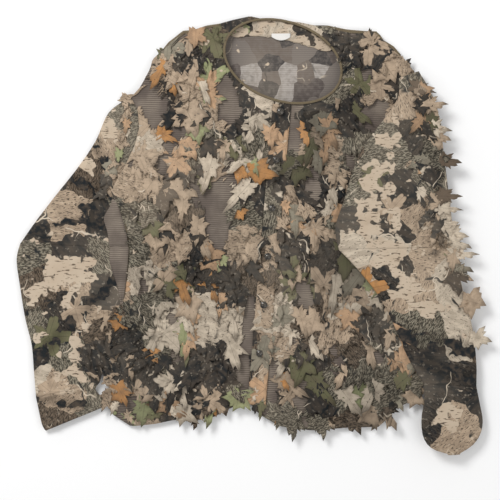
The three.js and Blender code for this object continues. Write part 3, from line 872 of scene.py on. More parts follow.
def sleeve(name, rows, along, low, fullness, seed, print_shift, tuck=False):
    """A tube of cloth through the rows; tuck turns its far end inside."""
    vertices, prints = [], []
    steps = [k / along for k in range(along + 1)]
    for t in steps:
        for k in range(SLEEVE_AROUND):
            angle = 2 * math.pi * k / SLEEVE_AROUND
            x, y, z = sleeve_point(rows, t, angle, low, fullness, seed)
            vertices.append((x, y, z))
            back = BACK_PRINT_SHIFT if math.sin(angle) < 0 else 0.0
            prints.append((x + print_shift[0] + back, y + print_shift[1], 0))
    if tuck:
        outer, inner = rows[-1]
        centre = Vector((*at((outer[0] + inner[0]) / 2, (outer[1] + inner[1]) / 2), 0))
        ring = vertices[-SLEEVE_AROUND:]
        middle = sum(z for _, _, z in ring) / SLEEVE_AROUND
        for share, depth in TUCK_RINGS:
            for x, y, z in ring:
                vertices.append((
                    centre.x + (x - centre.x) * share,
                    centre.y + (y - centre.y) * share - depth,
                    middle + (z - middle) * (share - 0.25),
                ))
            prints += prints[-SLEEVE_AROUND:]
    rings = len(vertices) // SLEEVE_AROUND
    faces = []
    for j in range(rings - 1):
        for k in range(SLEEVE_AROUND):
            a, b = j * SLEEVE_AROUND + k, j * SLEEVE_AROUND + (k + 1) % SLEEVE_AROUND
            faces.append((a, b, b + SLEEVE_AROUND, a + SLEEVE_AROUND))
    piece = new_object(name, vertices, faces)
    set_vectors(piece, "print", prints)
    set_vectors(piece, "tone", [(sleeve_tone(x, y), 0, 0) for x, y, _ in vertices])
    thicken(piece, CLOTH_THICKNESS, 0.0)
    return piece


def right_sleeve_low(x, y):
    """The right sleeve lies on the table, and its root rises to go in between the body's front and back."""
    xm = millimetres(x, y)[0]
    return RIGHT_SLEEVE_LOW + 0.0006 + 0.004 * smooth(-255, -205, xm)


def right_sleeve_fullness(x, y):
    """The right sleeve is flatter where it goes in under the body."""
    xm, ym = millimetres(x, y)
    return 1 - 0.45 * smooth(-262, -222, xm) * smooth(20, 70, ym)


def left_sleeve_low(x, y):
    """The left sleeve lies on the body, and sinks a little beyond the body's side and at the shoulder."""
    xm, ym = millimetres(x, y)
    beyond = smooth(288, 372, xm) * 0.010
    shoulder = smooth(235, 285, ym) * 0.012
    return LEFT_SLEEVE_LOW + 0.0008 - max(beyond, shoulder)


def full_all_over(x, y):
    return 1.0


# ---- leaf flaps ----------------------------------------------------------------------------------

MAPLE_LOBES = ((-2.35, 0.62), (-1.2, 0.88), (0.0, 1.0), (1.2, 0.88), (2.35, 0.62))  # turn from the tip, reach
OAK_LOBES = ((-2.5, 0.46), (-1.75, 0.5), (-0.85, 0.62), (0.0, 1.0), (0.85, 0.62), (1.75, 0.5), (2.5, 0.46))
SHARD_LOBES = ((-2.2, 0.5), (-0.9, 0.42), (0.0, 1.05), (1.0, 0.4), (2.3, 0.52))
BROAD_LOBES = ((-2.2, 0.75), (-0.95, 0.95), (0.15, 1.0), (1.3, 0.85), (2.4, 0.7))
TONGUE_LOBES = ((-2.6, 0.7), (-1.9, 0.62), (-0.8, 0.66), (0.0, 1.12), (0.75, 0.6), (1.85, 0.66), (2.6, 0.72))
LEAF_KINDS = (MAPLE_LOBES, OAK_LOBES, SHARD_LOBES, TONGUE_LOBES, TONGUE_LOBES, BROAD_LOBES, BROAD_LOBES)
LOBE_TEETH = ((-0.52, 0.76), (0.0, 1.06), (0.3, 0.72), (0.56, 0.8))  # share of the lobe's half width, reach
LEAF_RINGS = (0.35, 0.7, 1.0)
LEAF_THICKNESS = 0.0005
LEAF_COLOURS = (TAN, TAN, TAN, PEACH, ORANGE, PALE_GREEN, CREAM, CREAM, BARK, CHARCOAL, OLIVE)


def leaf_outline(rng):
    """A jagged leaf round its middle, its tip along +Y: each lobe has a point and a tooth either side."""
    lobes = rng.choice(LEAF_KINDS)
    corners = []
    for n, (turn, reach) in enumerate(lobes):
        following = lobes[n + 1][0] if n + 1 < len(lobes) else turn + 1.0
        half = (following - turn) / 2
        reach *= rng.uniform(0.85, 1.12)
        valley = reach * rng.uniform(0.45, 0.72)
        for share, part in LOBE_TEETH:
            spot = turn + share * half * rng.uniform(0.9, 1.1)
            corners.append((spot, reach * part * rng.uniform(0.93, 1.07)))
        corners.append((turn + half, valley))
    corners.append((math.pi, 0.34))
    return [(radius * math.sin(turn), radius * math.cos(turn)) for turn, radius in corners]


# The leaves that catch the eye on the fronts: (x, y, size, colour), in millimetres.
BRIGHT_LEAVES = (
    (-171, -57, 62, TAN), (-132, -31, 52, TAN), (-188, -206, 48, ORANGE), (-120, -185, 64, PEACH),
    (48, 48, 46, PEACH),
    (-31, 109, 50, ORANGE), (22, 172, 58, PEACH), (86, 176, 56, ORANGE), (-60, 150, 50, TAN),
    (-148, 262, 46, ORANGE),
    (-14, -30, 60, TAN), (-40, -112, 62, TAN), (30, -128, 60, CREAM), (96, -196, 66, CREAM),
    (150, -240, 58, TAN),
    (-36, 38, 46, ORANGE), (-8, 122, 44, PALE_GREEN), (-58, -48, 48, PALE_GREEN), (44, -252, 44, ORANGE),
)
FRINGE_COLOURS = (TAN, BARK, BARK, BARK_BROWN, CREAM)


class Flaps:
    """Collects the leaves of one region and builds them as a single piece of cut cloth."""

    def __init__(self, seed):
        self.rng = random.Random(seed)
        self.vertices, self.faces = [], []
        self.print, self.leaf, self.tint, self.tone = [], [], [], []

    def add(self, x, y, size, turn, surface, lift=0.006, ceiling=None, tint=None, tone=0.0, whole=None):
        """One leaf about (x, y): turn is 0 where its tip points down the cloth."""
        rng = self.rng
        outline = leaf_outline(rng)
        start = len(self.vertices)
        cos, sin = math.cos(turn + math.pi), math.sin(turn + math.pi)
        narrow = rng.uniform(0.75, 1.05)
        own = rng.random() < 0.34 if whole is None else whole
        colour = tint or rng.choice(LEAF_COLOURS)
        shift = (rng.uniform(-0.01, 0.01), rng.uniform(-0.01, 0.01))
        side_curl = rng.uniform(0.1, 1.0) * lift
        tip_curl = rng.uniform(0.3, 1.0) * lift
        base = rng.uniform(0.0006, 0.0024)
        fold, lean = rng.uniform(-0.2, 0.7) * lift, rng.uniform(-0.4, 0.4)
        half = size / 2
        spots = [(0.0, 0.0)] + [(px * r, py * r) for r in LEAF_RINGS for px, py in outline]
        for px, py in spots:
            lx, ly = px * narrow * half, py * half
            wx, wy = x + lx * cos - ly * sin, y + lx * sin + ly * cos
            rise = base + tip_curl * smooth(-0.1, 1.0, py) ** 1.5 + side_curl * min(1.0, abs(px)) ** 2
            rise += fold * max(0.0, 1 - 2.2 * abs(px + lean * py))
            rise += 0.0012 * noise.noise(Vector((wx * 70, wy * 70, start * 0.01)))
            z = surface(wx, wy) + max(rise, 0.0004)
            if ceiling is not None:
                z = min(z, ceiling + 0.0004 * px)
            self.vertices.append((wx, wy, z))
            self.print.append((wx + shift[0], wy + shift[1], 0))
            self.leaf.append((px, py, 1.0 if own else 0.0))
            self.tint.append(colour[:3])
            self.tone.append((tone, 0, 0))
        count = len(outline)
        for k in range(count):
            after = (k + 1) % count
            self.faces.append((start, start + 1 + after, start + 1 + k))
            for ring in range(len(LEAF_RINGS) - 1):
                a, b = start + 1 + ring * count, start + 1 + (ring + 1) * count
                self.faces.append((a + k, a + after, b + after, b + k))

    def build(self, name, material):
        piece = new_object(name, self.vertices, self.faces)
        for key in ("print", "leaf", "tint", "tone"):
            set_vectors(piece, key, getattr(self, key))
        piece.data.materials.append(material)
        thicken(piece, LEAF_THICKNESS)
        return piece


def surface_under(*pieces):
    """A function giving the height of the topmost of these pieces; off them it gives its last answer."""
    graph = bpy.context.evaluated_depsgraph_get()
    trees = [BVHTree.FromObject(piece, graph) for piece in pieces]
    last = [0.01]

    def height(x, y):
        hits = [tree.ray_cast(Vector((x, y, 0.2)), Vector((0, 0, -1)))[0] for tree in trees]
        tops = [hit.z for hit in hits if hit is not None]
        if tops:
            last[0] = max(tops)
        return last[0]

    return height


WINDOW_POWER = 1.5  # 2 makes the windows oval, and 1 makes them diamonds
SLOT_SHARE = 0.30  # higher leaves fewer small slots


# Where the leaf cloth is cut right away and the netting shows: (x low, x high, y low, y high).
MESH_WINDOWS = (
    (-209, -158, 188, 253), (-74, -31, 183, 276), (-92, -39, -31, 92), (38, 83, 144, 206),
    (-262, -228, -129, 41), (-22, -1, -197, -101), (8, 48, -293, -223), (62, 101, -337, -249),
    (180, 235, 170, 240),
)


def in_window(x, y, margin=0.0):
    """Whether a place is inside a window in the leaf cloth, or one of the small slots strewn over it."""
    xm, ym = millimetres(x, y)
    ragged = 9 * noise.noise(Vector((x * 95, y * 95, 3.0))) + 16 * noise.noise(Vector((x * 30, y * 22, 8.0)))
    room = margin + ragged
    for left, right, low, high in MESH_WINDOWS:
        across = abs(2 * xm - left - right) / max(right - left + 2 * room, 1)
        up = abs(2 * ym - low - high) / max(high - low + 2 * room, 1)
        if across**WINDOW_POWER + up**WINDOW_POWER < 1.1:
            return True
    slot = noise.noise(Vector((x * 27, y * 15, 7.7))) + 0.2 * noise.noise(Vector((x * 120, y * 120, 1.0)))
    return slot > SLOT_SHARE + margin * 0.01


# ---- bands, tapes and studs ----------------------------------------------------------------------


def ribbon(name, path, width, thickness):
    """A tape along a path of points: an oval section, width across and thickness high, closed at its ends."""
    around = 14
    vertices, prints, faces = [], [], []
    length = 0.0
    for k, point in enumerate(path):
        before, after = path[max(k - 1, 0)], path[min(k + 1, len(path) - 1)]
        along = (Vector(after) - Vector(before)).normalized()
        across = Vector((-along.y, along.x, 0)).normalized()
        if k:
            length += (Vector(point) - Vector(path[k - 1])).length
        for n in range(around):
            angle = 2 * math.pi * n / around
            side = 0.5 * width * squared(math.cos(angle))
            up = 0.5 * thickness * squared(math.sin(angle))
            spot = Vector(point) + across * side + Vector((0, 0, up))
            vertices.append(spot)
            prints.append((side, length, 0))
    for k in range(len(path) - 1):
        for n in range(around):
            a, b = k * around + n, k * around + (n + 1) % around
            faces.append((a, b, b + around, a + around))
    faces.append(tuple(range(around))[::-1])
    faces.append(tuple((len(path) - 1) * around + n for n in range(around)))
    piece = new_object(name, vertices, faces)
    set_vectors(piece, "print", prints)
    return piece


def lathe(name, centre, profile, around=28):
    """A round piece about an upright axis, from (radius, height) pairs that start and end on the axis."""
    rings = profile[1:-1]
    vertices = [(centre[0], centre[1], centre[2] + profile[0][1])]
    for radius, height in rings:
        for k in range(around):
            angle = 2 * math.pi * k / around
            x, y = centre[0] + radius * math.cos(angle), centre[1] + radius * math.sin(angle)
            vertices.append((x, y, centre[2] + height))
    vertices.append((centre[0], centre[1], centre[2] + profile[-1][1]))
    last = len(vertices) - 1
    faces = []
    for k in range(around):
        after = (k + 1) % around
        faces.append((0, 1 + after, 1 + k))
        for ring in range(len(rings) - 1):
            a, b = 1 + ring * around, 1 + (ring + 1) * around
            faces.append((a + k, a + after, b + after, b + k))
        top = 1 + (len(rings) - 1) * around
        faces.append((top + k, top + after, last))
    return new_object(name, vertices, faces)


def stud_cap(name):
    """A pressed snap cap: a rolled rim and a shallow domed face."""
    low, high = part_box(name)
    radius, tall = (high.x - low.x) / 2, high.z - low.z
    centre = ((low.x + high.x) / 2, (low.y + high.y) / 2, low.z)
    profile = [(0, 0), (radius * 0.9, 0), (radius, tall * 0.16), (radius * 0.985, tall * 0.42)]
    profile += [(radius * 0.9, tall * 0.6), (radius * 0.82, tall * 0.6), (radius * 0.74, tall * 0.72)]
    profile += [(radius * 0.5, tall * 0.92), (radius * 0.22, tall * 0.99), (0, tall)]
    return lathe(name + "_lacquered", centre, profile)


# ---- joints, and stretches of cloth across them --------------------------------------------------


def joint_axis(name):
    """A joint's place and axis, and the two bodies it joins."""
    found = next(joint for joint in frame["joints"] if joint["name"] == name)
    return Vector(found["pos_m"]), Vector(found["axis"]), found["parent"], found["child"]


def bend_across(joint, toward, before, after):
    """A joint's parent and child, and a start and end before and after it, square to its axis where the axis
    lies flat.
    """
    centre, axis, parent, child = joint_axis(joint)
    direction = Vector((*toward, 0)).normalized()
    if abs(axis.z) < 0.5:
        direction = Vector((axis.y, -axis.x, 0)).normalized()
        if direction.dot(Vector((*toward, 0))) < 0:
            direction = -direction
    return parent, child, centre - direction * before, centre + direction * after


# For each body: its joint's parent and child, and the ends of a stretch this long before and after the joint.
BENDS = {
    "left_front": bend_across("left_front_fold", (-1, 0), 0.0, 0.055),
    "right_front": bend_across("right_front_fold", (1, 0), 0.0, 0.055),
    "left_upper_sleeve": bend_across("left_shoulder_swing", (-0.02, -1), 0.06, 0.10),
    "right_upper_sleeve": bend_across("right_shoulder_swing", (-0.46, -0.89), 0.05, 0.10),
    "left_forearm": bend_across("left_elbow_fold", (0.1, -1), 0.0, 0.07),
    "right_forearm": bend_across("right_elbow_fold", (0.1, -1), 0.0, 0.07),
}


def bend(piece, body):
    parent, child, start, end = BENDS[body]
    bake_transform(piece)
    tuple(start)
    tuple(end)


def dress(piece, material, slot, *nodes):
    """Gives a piece its material and hides the CAD nodes that it stands for; slot is not used."""
    if material.name not in piece.data.materials:
        piece.data.materials.append(material)
    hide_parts(*nodes)


# ---- scattering the leaves -----------------------------------------------------------------------

LEFT_SLEEVE_SEAM = [  # [height, x]: plain print inside it, leaf cloth outside it
    [-220, 375], [-176, 372], [-137, 358], [-101, 340], [-62, 321], [-31, 305], [4, 288], [52, 269],
    [87, 260], [125, 262], [164, 274], [214, 255],
]
RIGHT_ARMHOLE = [  # [height, x]
    [-50, -250], [10, -262], [60, -262], [101, -246], [148, -226], [164, -218], [211, -214], [240, -216],
]
LEFT_FRINGE = [  # [x, height] of each leaf's tip
    [307, 241], [326, 221], [332, 176], [337, 158], [352, 120], [351, 62], [349, 39], [363, -4], [368, -27],
    [375, -38], [374, -69], [396, -127], [408, -190],
]
LEFT_SLEEVE_OUTER = [  # [height, x]
    [-268, 380], [-230, 380], [-185, 376], [-142, 368], [-103, 357], [-58, 348], [8, 339], [54, 333],
    [102, 327], [148, 321], [178, 319], [212, 311], [246, 298], [280, 280],
]
RIGHT_SLEEVE_INNER = [  # [height, x]
    [-262, -276], [-222, -265], [-182, -254], [-138, -241], [-95, -233], [-27, -227], [33, -233],
]
LEFT_SLEEVE_INNER = [  # [height, x] of the edge that lies on the body
    [-380, 330], [-354, 287], [-292, 289], [-230, 268], [-190, 248], [-146, 230], [-102, 204], [-60, 170],
    [-30, 141], [8, 135], [56, 150], [108, 166], [146, 182], [174, 202], [208, 228], [236, 244],
    [268, 246], [290, 262],
]


def body_edge_gap(x, y):
    """How far inside the body's outline a place is, in millimetres."""
    xm, ym = millimetres(x, y)
    hem = curve_at(RIGHT_HEM if xm < front_line(-300) else LEFT_HEM, xm)
    sides = min(xm - curve_at(BODY_RIGHT_EDGE, ym), curve_at(BODY_LEFT_EDGE, ym) - xm)
    return min(sides, ym - hem, curve_at(TOP_EDGE, xm) - ym)


def shade_at(x, y):
    """Slow patches of painted shade and light over the jacket, from about -0.5 to 0.2."""
    return 0.55 * noise.noise(Vector((x * 7 + 3, y * 7, 2.2))) - 0.14


def leaf_room(x, y):
    """The largest leaf that fits here without hanging far into the neck or past the body's outline."""
    by_neck = 2 * max(0.0, neck_distance(x, y) - 1) * NECK_SHORT * MM + 0.008
    return min(by_neck, 2 * max(0.0, body_edge_gap(x, y)) * MM + 0.034)


SCATTER_X, SCATTER_Y = (-0.44, 0.44), (-0.36, 0.38)  # the table that a scatter of leaves goes over
ROW_SHARE = 0.9  # rows are this much closer than columns


def scatter(flaps, spacing, surface, belongs, sizes, lift, ceiling=None, room=None):
    """Leaves on a jittered grid, rows offset, wherever belongs(x, y) holds, none larger than room(x, y)."""
    rng = flaps.rng
    across = int((SCATTER_X[1] - SCATTER_X[0]) / spacing)
    up = int((SCATTER_Y[1] - SCATTER_Y[0]) / (spacing * ROW_SHARE))
    for row in range(up, -1, -1):
        for column in range(across + 1):
            x = SCATTER_X[0] + (column + 0.5 * (row % 2)) * spacing + rng.uniform(-0.3, 0.3) * spacing
            y = SCATTER_Y[0] + row * spacing * ROW_SHARE + rng.uniform(-0.3, 0.3) * spacing
            size, turn = rng.uniform(*sizes), rng.gauss(0, 0.55)
            if not belongs(x, y):
                continue
            top = ceiling(x, y) if ceiling else None
            size = min(size, room(x, y)) if room else size
            flaps.add(x, y, size, turn, surface, lift, top, tone=shade_at(x, y))


def under_left_sleeve(x, y):
    xm, ym = millimetres(x, y)
    return -385 < ym < 285 and xm > curve_at(LEFT_SLEEVE_INNER, ym) - 30


def front_ceiling(x, y):
    return LEFT_SLEEVE_LOW - 0.0012 if under_left_sleeve(x, y) else None


def near_stud(x, y):
    """Whether a leaf here would hide one of the studs that show, the first and the third."""
    for number in (1, 3):
        low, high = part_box(f"stud_cap_{number}")
        if math.hypot(x - (low.x + high.x) / 2, (y - (low.y + high.y) / 2 - 0.012) * 0.8) < 0.036:
            return True
    return False


FRONT_INSET = 9  # of the leaves from the front's edges, in millimetres


def on_front(x, y, side):
    xm, ym = millimetres(x, y)
    if min((xm - front_line(ym)) * side, body_edge_gap(x, y)) < FRONT_INSET or on_yoke(x, y):
        return False
    return neck_distance(x, y) > 1.12 and not in_window(x, y, 7.0) and not near_stud(x, y)


# ---- the jacket ----------------------------------------------------------------------------------

# Lengths in whole numbers are millimetres on the laid-out jacket, and the rest are metres.
BACK_HEM = -292
NECK_TAPE = 0.0042  # width of the neck's binding
FRONT_TURN, BACK_TURN = -1.52, 0.18  # where the neck's binding starts at the front edge and changes body
TAPE_THICKNESS = 0.003
FACING_TURNS = (0.75, 2.95)  # where the facing starts and ends round the neck, in radians
FACING_DEPTH = 32
SIDE_TAPE = 0.006  # width of the tape along a seam
FRONT_SPACING = 0.030  # of the leaves on the fronts
GROUND_RISE = 0.0013  # of the leaf cloth above the netting
PLACKET_WIDTH, PLACKET_LAP = 32, 4
PLACKET_RISE = 0.0026  # of the placket's cloth above the front's
PLACKET_GRID = 0.004
GUSSET_LOW, GUSSET_ELBOW, GUSSET_TOP, GUSSET_WIDTH = -128, -24, 58, 28


def make_materials():
    return {
        "leaf": leaf_material("leaf_cut_print"),
        "print": print_material("plain_print", 0.7),
        "sleeve": print_material("sleeve_print", 0.84),
        "net": net_material("ribbed_netting"),
        "wrong": wrong_side_material("wrong_side_of_print"),
        "binding": binding_material("print_binding", srgb(118, 106, 84)),
        "satin": plain_material("blank_satin", srgb(226, 224, 220), 0.35, 900.0),
        "elastic": plain_material("cuff_elastic", srgb(92, 86, 74), 0.8, 700.0),
        "stud": plain_material("black_lacquer", srgb(18, 18, 19), 0.22, 500.0, metallic=0.2, coat=0.8),
    }


def make_body(look):
    """The netting of the fronts and the back."""
    right = panel(
        "right_front_net", edge_of(BODY_RIGHT_EDGE), lambda y: front_line(y, UNDER_LAP),
        edge_of(RIGHT_HEM), edge_of(TOP_EDGE),
        lambda x, y: front_height(x, y) - 0.0008, (0.2, 0.1), cut_away=on_yoke,
    )
    dress(right, look["net"], "netting", "right_front_mesh", "right_side_mesh")
    left = panel(
        "left_front_net", front_line, edge_of(BODY_LEFT_EDGE), edge_of(LEFT_HEM), edge_of(TOP_EDGE),
        front_height, (0.5, 0.3), cut_away=on_yoke,
    )
    dress(left, look["net"], "netting", "left_front_mesh", "left_side_mesh")
    back = panel(
        "back_cloth", edge_of(BODY_RIGHT_EDGE, 2), edge_of(BODY_LEFT_EDGE, -2),
        level(BACK_HEM), edge_of(TOP_EDGE),
        back_height, (0.9, 0.7), cut_neck=False,
    )
    dress(back, look["wrong"], "print_cloth", "back_mesh_panel")
    return right, left, back


def cut_from_ground(x, y):
    """Where a front's leaf cloth is missing: at the yoke, and at its windows."""
    return on_yoke(x, y) or in_window(x, y)


def ground_height(x, y):
    return front_height(x, y) + GROUND_RISE


def make_yoke(look):
    """The strip of leaf cloth round the back of the neck, with its own leaves."""
    cloth = panel(
        "neck_yoke_cloth", level(YOKE_X[0]), level(YOKE_X[1]), level(NECK_Y), edge_of(TOP_EDGE),
        ground_height, (0.0, 0.0),
    )
    cloth.data.materials.append(look["print"])
    flaps = Flaps(131)

    def belongs(x, y):
        return on_yoke(x, y) and body_edge_gap(x, y) > 7 and neck_distance(x, y) > 1.08

    scatter(flaps, 0.024, surface_under(cloth), belongs, (0.03, 0.046), 0.005)
    leaves = flaps.build("neck_yoke_leaf_cloth", look["leaf"])
    return cloth, leaves


def make_leaf_ground(look):
    """The running leaf cloth itself, cut away at its windows, just above the netting of each front."""
    right = panel(
        "right_front_leaf_ground", edge_of(BODY_RIGHT_EDGE), lambda y: front_line(y, -2),
        edge_of(RIGHT_HEM), edge_of(TOP_EDGE), ground_height, (0.0, 0.0), cut_away=cut_from_ground,
    )
    left = panel(
        "left_front_leaf_ground", front_line, edge_of(BODY_LEFT_EDGE),
        edge_of(LEFT_HEM), edge_of(TOP_EDGE), ground_height, (0.0, 0.0), cut_away=cut_from_ground,
    )
    for piece in (right, left):
        piece.data.materials.append(look["print"])
    return right, left


def make_front_leaves(look, sleeves, *cloth):
    """The leaf cloth of each front, with loose leaves along the hem and beside the right sleeve."""
    pieces = []
    surface = surface_under(*cloth)
    over_sleeve = surface_under(*cloth, sleeves["right_forearm"], sleeves["right_cuff"])
    for name, side, seed, nodes in (
        ("right_front_leaf_cloth", -1, 11, ("right_front_leaves", "right_side_leaves")),
        ("left_front_leaf_cloth", 1, 23, ("left_front_leaves", "left_side_leaves")),
    ):
        flaps = Flaps(seed)
        scatter(flaps, FRONT_SPACING, surface, lambda x, y: on_front(x, y, side), (0.058, 0.09), 0.008,
                front_ceiling, leaf_room)
        hem = RIGHT_HEM if side < 0 else LEFT_HEM
        for x, y in hem[1:-1]:
            place = at(x + flaps.rng.uniform(-6, 6), y + 18)
            if not under_left_sleeve(*place):
                flaps.add(*place, flaps.rng.uniform(0.034, 0.046), flaps.rng.gauss(0, 0.5), surface, 0.004)
        for x, y, size, colour in BRIGHT_LEAVES:
            if (x - front_line(y)) * side > 0:
                turn = flaps.rng.gauss(0, 0.5)
                flaps.add(*at(x, y), size * MM, turn, surface, 0.009, tint=colour, whole=True)
        if side < 0:
            # Leaves along the body's right edge over the gap beside the right sleeve; their tone of -0.15 is
            # painted shade in that gap.
            for height in range(-296, -120, 16):
                place = at(curve_at(BODY_RIGHT_EDGE, height) - 1, height + flaps.rng.uniform(-5, 5))
                flaps.add(*place, 0.046, flaps.rng.gauss(-0.5, 0.4), over_sleeve, 0.003, tone=-0.15)
        piece = flaps.build(name, look["leaf"])
        dress(piece, look["leaf"], "leaf_cloth", *nodes)
        pieces.append(piece)
    return pieces


def toward(place, tip):
    """The turn that points a leaf at place towards tip."""
    return math.atan2(tip[0] - place[0], -(tip[1] - place[1]))


def on_left_strip(x, y):
    xm, ym = millimetres(x, y)
    if not -232 < ym < 262:
        return False
    outer = curve_at(LEFT_SLEEVE_OUTER, ym)
    return curve_at(LEFT_SLEEVE_SEAM, ym) + 8 < xm < outer - 6


def on_right_strip(x, y):
    xm, ym = millimetres(x, y)
    inner = curve_at(RIGHT_SLEEVE_INNER, ym)
    return -236 < ym < -135 and inner - 46 < xm < inner - 8


def make_sleeve_leaves(look, sleeves):
    """Leaf cloth down the outer side of the left sleeve, with its fringe, and the inner side of the right."""
    pieces = {}
    for side, belongs, seed in (("left", on_left_strip, 61), ("right", on_right_strip, 73)):
        for part, above in (("upper_sleeve", True), ("forearm", False)):
            body = side + "_" + part
            cloth = sleeves[body]
            surface = surface_under(cloth)
            elbow = joint_axis(side + "_elbow_fold")[0].y
            flaps = Flaps(seed + above)

            def here(x, y):
                return belongs(x, y) and (y > elbow) == above

            scatter(flaps, 0.027, surface, here, (0.048, 0.07), 0.0045)
            if side == "left":
                for x, y in LEFT_FRINGE:
                    tip = at(x, y)
                    if (tip[1] > elbow) == above:
                        place = (tip[0] - 0.029, tip[1] + flaps.rng.uniform(0.0, 0.012))
                        tint = flaps.rng.choice(FRINGE_COLOURS)
                        flaps.add(*place, 0.062, toward(place, tip), surface, 0.004, tint=tint, whole=True)
            if side == "right" and above:
                for height in range(66, 236, 15):
                    place = at(curve_at(RIGHT_ARMHOLE, height) - 12, height + flaps.rng.uniform(-5, 5))
                    turn = flaps.rng.gauss(-0.4, 0.4)
                    flaps.add(*place, flaps.rng.uniform(0.032, 0.042), turn, surface, 0.0035)
            piece = flaps.build(body + "_leaf_cloth", look["leaf"])
            dress(piece, look["leaf"], "leaf_cloth", body + "_leaves")
            pieces[body] = piece
    return pieces


def make_underside(look):
    """The back's own leaf cloth, pressed flat between the netting and the table."""
    flaps = Flaps(97)

    def table(x, y):
        return 0.0003

    def belongs(x, y):
        return body_edge_gap(x, y) > 16 and millimetres(x, y)[1] > BACK_HEM + 22

    scatter(flaps, 0.04, table, belongs, (0.055, 0.078), 0.0012)
    piece = flaps.build("back_leaf_cloth", look["leaf"])
    dress(piece, look["leaf"], "leaf_cloth", "back_leaf_layer")
    return piece


def edge_path(curve, low, high, height, along_y=True, inset=0.0):
    """Points along an outline between two keys, at the given height."""
    count = max(8, int((high - low) / 6))
    path = []
    for k in range(count + 1):
        key = low + (high - low) * k / count
        value = curve_at(curve, key) + inset
        x, y = at(value, key) if along_y else at(key, value)
        path.append((x, y, height(x, y)))
    return path


def neck_path(start, end, height):
    """Points along the rim of the neck, between two turns round it."""
    count = int(abs(end - start) * 22)
    path = []
    for k in range(count + 1):
        x, y = neck_point(start + (end - start) * k / count, -1.0)
        path.append((x, y, height(x, y)))
    return path


def make_trim(look):
    """The neck bindings and the seam tapes, each paired with the name of a body."""

    def rim(x, y):
        return front_height(x, y) + 0.0022

    def seam(x, y):
        return SIDE_SEAM_Z - 0.0012

    def neck(start, end):
        return neck_path(start, end, rim), NECK_TAPE

    def side(curve, low, high, inset):
        return edge_path(curve, low, high, seam, inset=inset), SIDE_TAPE

    def shoulder(low, high):
        return edge_path(TOP_EDGE, low, high, seam, False, -3), SIDE_TAPE

    made = []
    for name, body, (path, width), node in (
        ("left_neck_tape", "left_front", neck(FRONT_TURN, BACK_TURN), "left_neck_binding"),
        ("right_neck_tape", "right_front", neck(FRONT_TURN + 0.08, -math.pi), "right_neck_binding"),
        ("back_neck_tape", "root", neck(BACK_TURN, math.pi), "back_neck_binding"),
        ("left_side_tape", "root", side(BODY_LEFT_EDGE, -286, 262, -3), "left_side_seam"),
        ("right_side_tape", "root", side(BODY_RIGHT_EDGE, -300, 40, 3), "right_side_seam"),
        ("left_shoulder_tape", "root", shoulder(122, 248), "left_shoulder_seam"),
        ("right_shoulder_tape", "root", shoulder(-172, -66), "right_shoulder_seam"),
    ):
        piece = ribbon(name, path, width, TAPE_THICKNESS)
        dress(piece, look["binding"], "binding", node)
        made.append((piece, body))
    return made


def make_gusset(look, sleeves):
    """The strip of netting along the inner side of the right sleeve, in two parts that meet at the elbow."""

    def outer(y):
        wide = smooth(GUSSET_LOW, GUSSET_LOW + 90, y) * smooth(62, 20, y)
        return curve_at(BODY_RIGHT_EDGE, y) - GUSSET_WIDTH * wide - 3

    made = {}
    for body, low, high in (
        ("right_upper_sleeve", GUSSET_ELBOW, GUSSET_TOP),
        ("right_forearm", GUSSET_LOW, GUSSET_ELBOW),
    ):
        surface = surface_under(sleeves[body])
        piece = panel(
            body + "_net_strip", outer, edge_of(BODY_RIGHT_EDGE, 2), level(low), level(high),
            lambda x, y: surface(x, y) + 0.0014, (0.8, 0.1), cut_neck=False,
        )
        piece.data.materials.append(look["net"])
        made[body] = piece
    return made


def strip(name, side_a, side_b, low, high, height, print_shift):
    """A narrow band of cloth down the front edge."""
    return panel(name, side_a, side_b, level(low), level(high), height, print_shift, False, PLACKET_GRID)


def make_placket(look):
    """The two folded bands down the front opening, the lower one under the upper."""
    low, high = LEFT_HEM[2][1] + 22, NECK_Y - NECK_SHORT - 5
    top = strip(
        "top_placket_cloth", lambda y: front_line(y, -PLACKET_LAP),
        lambda y: front_line(y, PLACKET_WIDTH - PLACKET_LAP), low, high,
        lambda x, y: front_height(x, y) + PLACKET_RISE, (1.3, 0.2),
    )
    dress(top, look["print"], "print_cloth", "top_placket")
    under = strip(
        "under_placket_cloth", lambda y: front_line(y, -2), lambda y: front_line(y, UNDER_LAP),
        low + 14, high, lambda x, y: front_height(x, y) - 0.0022, (1.7, 0.4),
    )
    dress(under, look["print"], "print_cloth", "under_placket")
    return top, under


def make_label_and_facing(look):
    """The printed facing inside the back of the neck, and the blank crescent label on it."""
    columns, rows = 40, 6
    points = []
    for j in range(rows + 1):
        for i in range(columns + 1):
            turn = FACING_TURNS[0] + (FACING_TURNS[1] - FACING_TURNS[0]) * i / columns
            uneven = 3 * noise.noise(Vector((i * 0.5, 1, 1)))
            deep = FACING_DEPTH * math.sin(math.pi * i / columns) ** 0.4 + uneven
            x, y = neck_point(turn, -1 - deep * j / rows)
            points.append((x, y, back_height(x, y) + 0.0014))
    facing = new_object("neck_facing_cloth", points, grid_faces(columns, rows))
    set_vectors(facing, "print", [(x + 0.05, y - 0.02, 0) for x, y, _ in points])
    set_vectors(facing, "tone", [(0.3, 0, 0)] * len(points))
    thicken(facing, CLOTH_THICKNESS)
    dress(facing, look["print"], "facing", "back_neck_facing")
    label = crescent("blank_neck_label", *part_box("neck_label"), 0.001, 0.5)
    dress(label, look["satin"], "satin", "neck_label")
    return facing, label


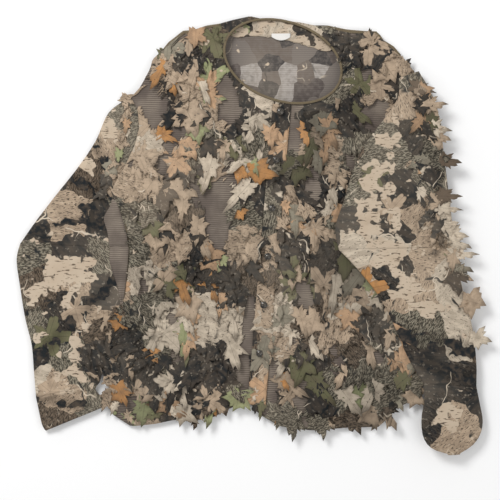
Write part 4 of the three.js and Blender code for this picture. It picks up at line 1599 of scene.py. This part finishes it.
def crescent(name, low, high, thickness, sag):
    """A flat patch whose upper edge is straight and whose lower edge bows, filling a CAD node's box."""
    columns, rows = 24, 8
    points = []
    for j in range(rows + 1):
        for i in range(columns + 1):
            u, v = i / columns, j / rows
            bow = sag * (2 * u - 1) ** 2
            bottom = low.y + (high.y - low.y) * bow
            x, y = low.x + (high.x - low.x) * u, bottom + (high.y - bottom) * v
            points.append((x, y, back_height(x, y) + 0.0034 + 0.0006 * math.sin(5 * u + 3 * v)))
    piece = new_object(name, points, grid_faces(columns, rows))
    set_vectors(piece, "print", [(x, y, 0) for x, y, _ in points])
    thicken(piece, thickness)
    return piece


def make_sleeves(look):
    """Upper sleeves, forearms and cuffs of both sides, by name."""
    made = {}
    for side, low, fullness, rows, seed in (
        ("right", right_sleeve_low, right_sleeve_fullness, RIGHT_ROWS, 31.0),
        ("left", left_sleeve_low, full_all_over, LEFT_ROWS, 47.0),
    ):
        for part, outline, along, tuck in zip(SLEEVE_PARTS, rows, (56, 44, 14), (False, False, True)):
            name = f"{side}_{part}"
            shift = (seed * 0.1, seed * 0.07)
            piece = sleeve(f"{name}_cloth", outline, along, low, fullness, seed, shift, tuck)
            nodes = (name, f"{name}_elastic") if part == "cuff" else (f"{name}_back", f"{name}_front")
            dress(piece, look["sleeve"], "print_cloth", *nodes)
            made[name] = piece
    return made


STUDS = 6
LOOK = make_materials()
right_net, left_net, back_cloth = make_body(LOOK)
top_placket, under_placket = make_placket(LOOK)
right_ground, left_ground = make_leaf_ground(LOOK)
SLEEVES = make_sleeves(LOOK)
right_leaves, left_leaves = make_front_leaves(LOOK, SLEEVES, right_net, left_net, right_ground, left_ground)
SLEEVE_LEAVES = make_sleeve_leaves(LOOK, SLEEVES)
back_leaves = make_underside(LOOK)
GUSSET = make_gusset(LOOK, SLEEVES)
yoke, yoke_leaves = make_yoke(LOOK)
facing, label = make_label_and_facing(LOOK)

for piece in (right_net, right_ground, right_leaves):
    bend(piece, "right_front")
for piece in (left_net, left_ground, left_leaves):
    bend(piece, "left_front")
for piece in (back_cloth, back_leaves, facing, label, yoke, yoke_leaves):
    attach(piece, "root")
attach(top_placket, "left_front")
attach(under_placket, "right_front")
for piece, body in make_trim(LOOK):
    if body == "root":
        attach(piece, "root")
    else:
        bend(piece, body)
for name, piece in SLEEVES.items():
    if name.endswith("cuff"):
        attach(piece, name.replace("cuff", "forearm"))
    else:
        bend(piece, name)
        bend(SLEEVE_LEAVES[name], name)
for body, piece in GUSSET.items():
    bend(piece, body)
for number in range(1, STUDS + 1):
    cap = stud_cap(f"stud_cap_{number}")
    dress(cap, LOOK["stud"], "black_metal", f"stud_cap_{number}")
    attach(cap, "left_front")
    for part in ("stud_socket", "stud_post"):
        node = frame["nodes"][f"{part}_{number}"]
        for slot in node.material_slots:
            slot.material = LOOK["stud"]
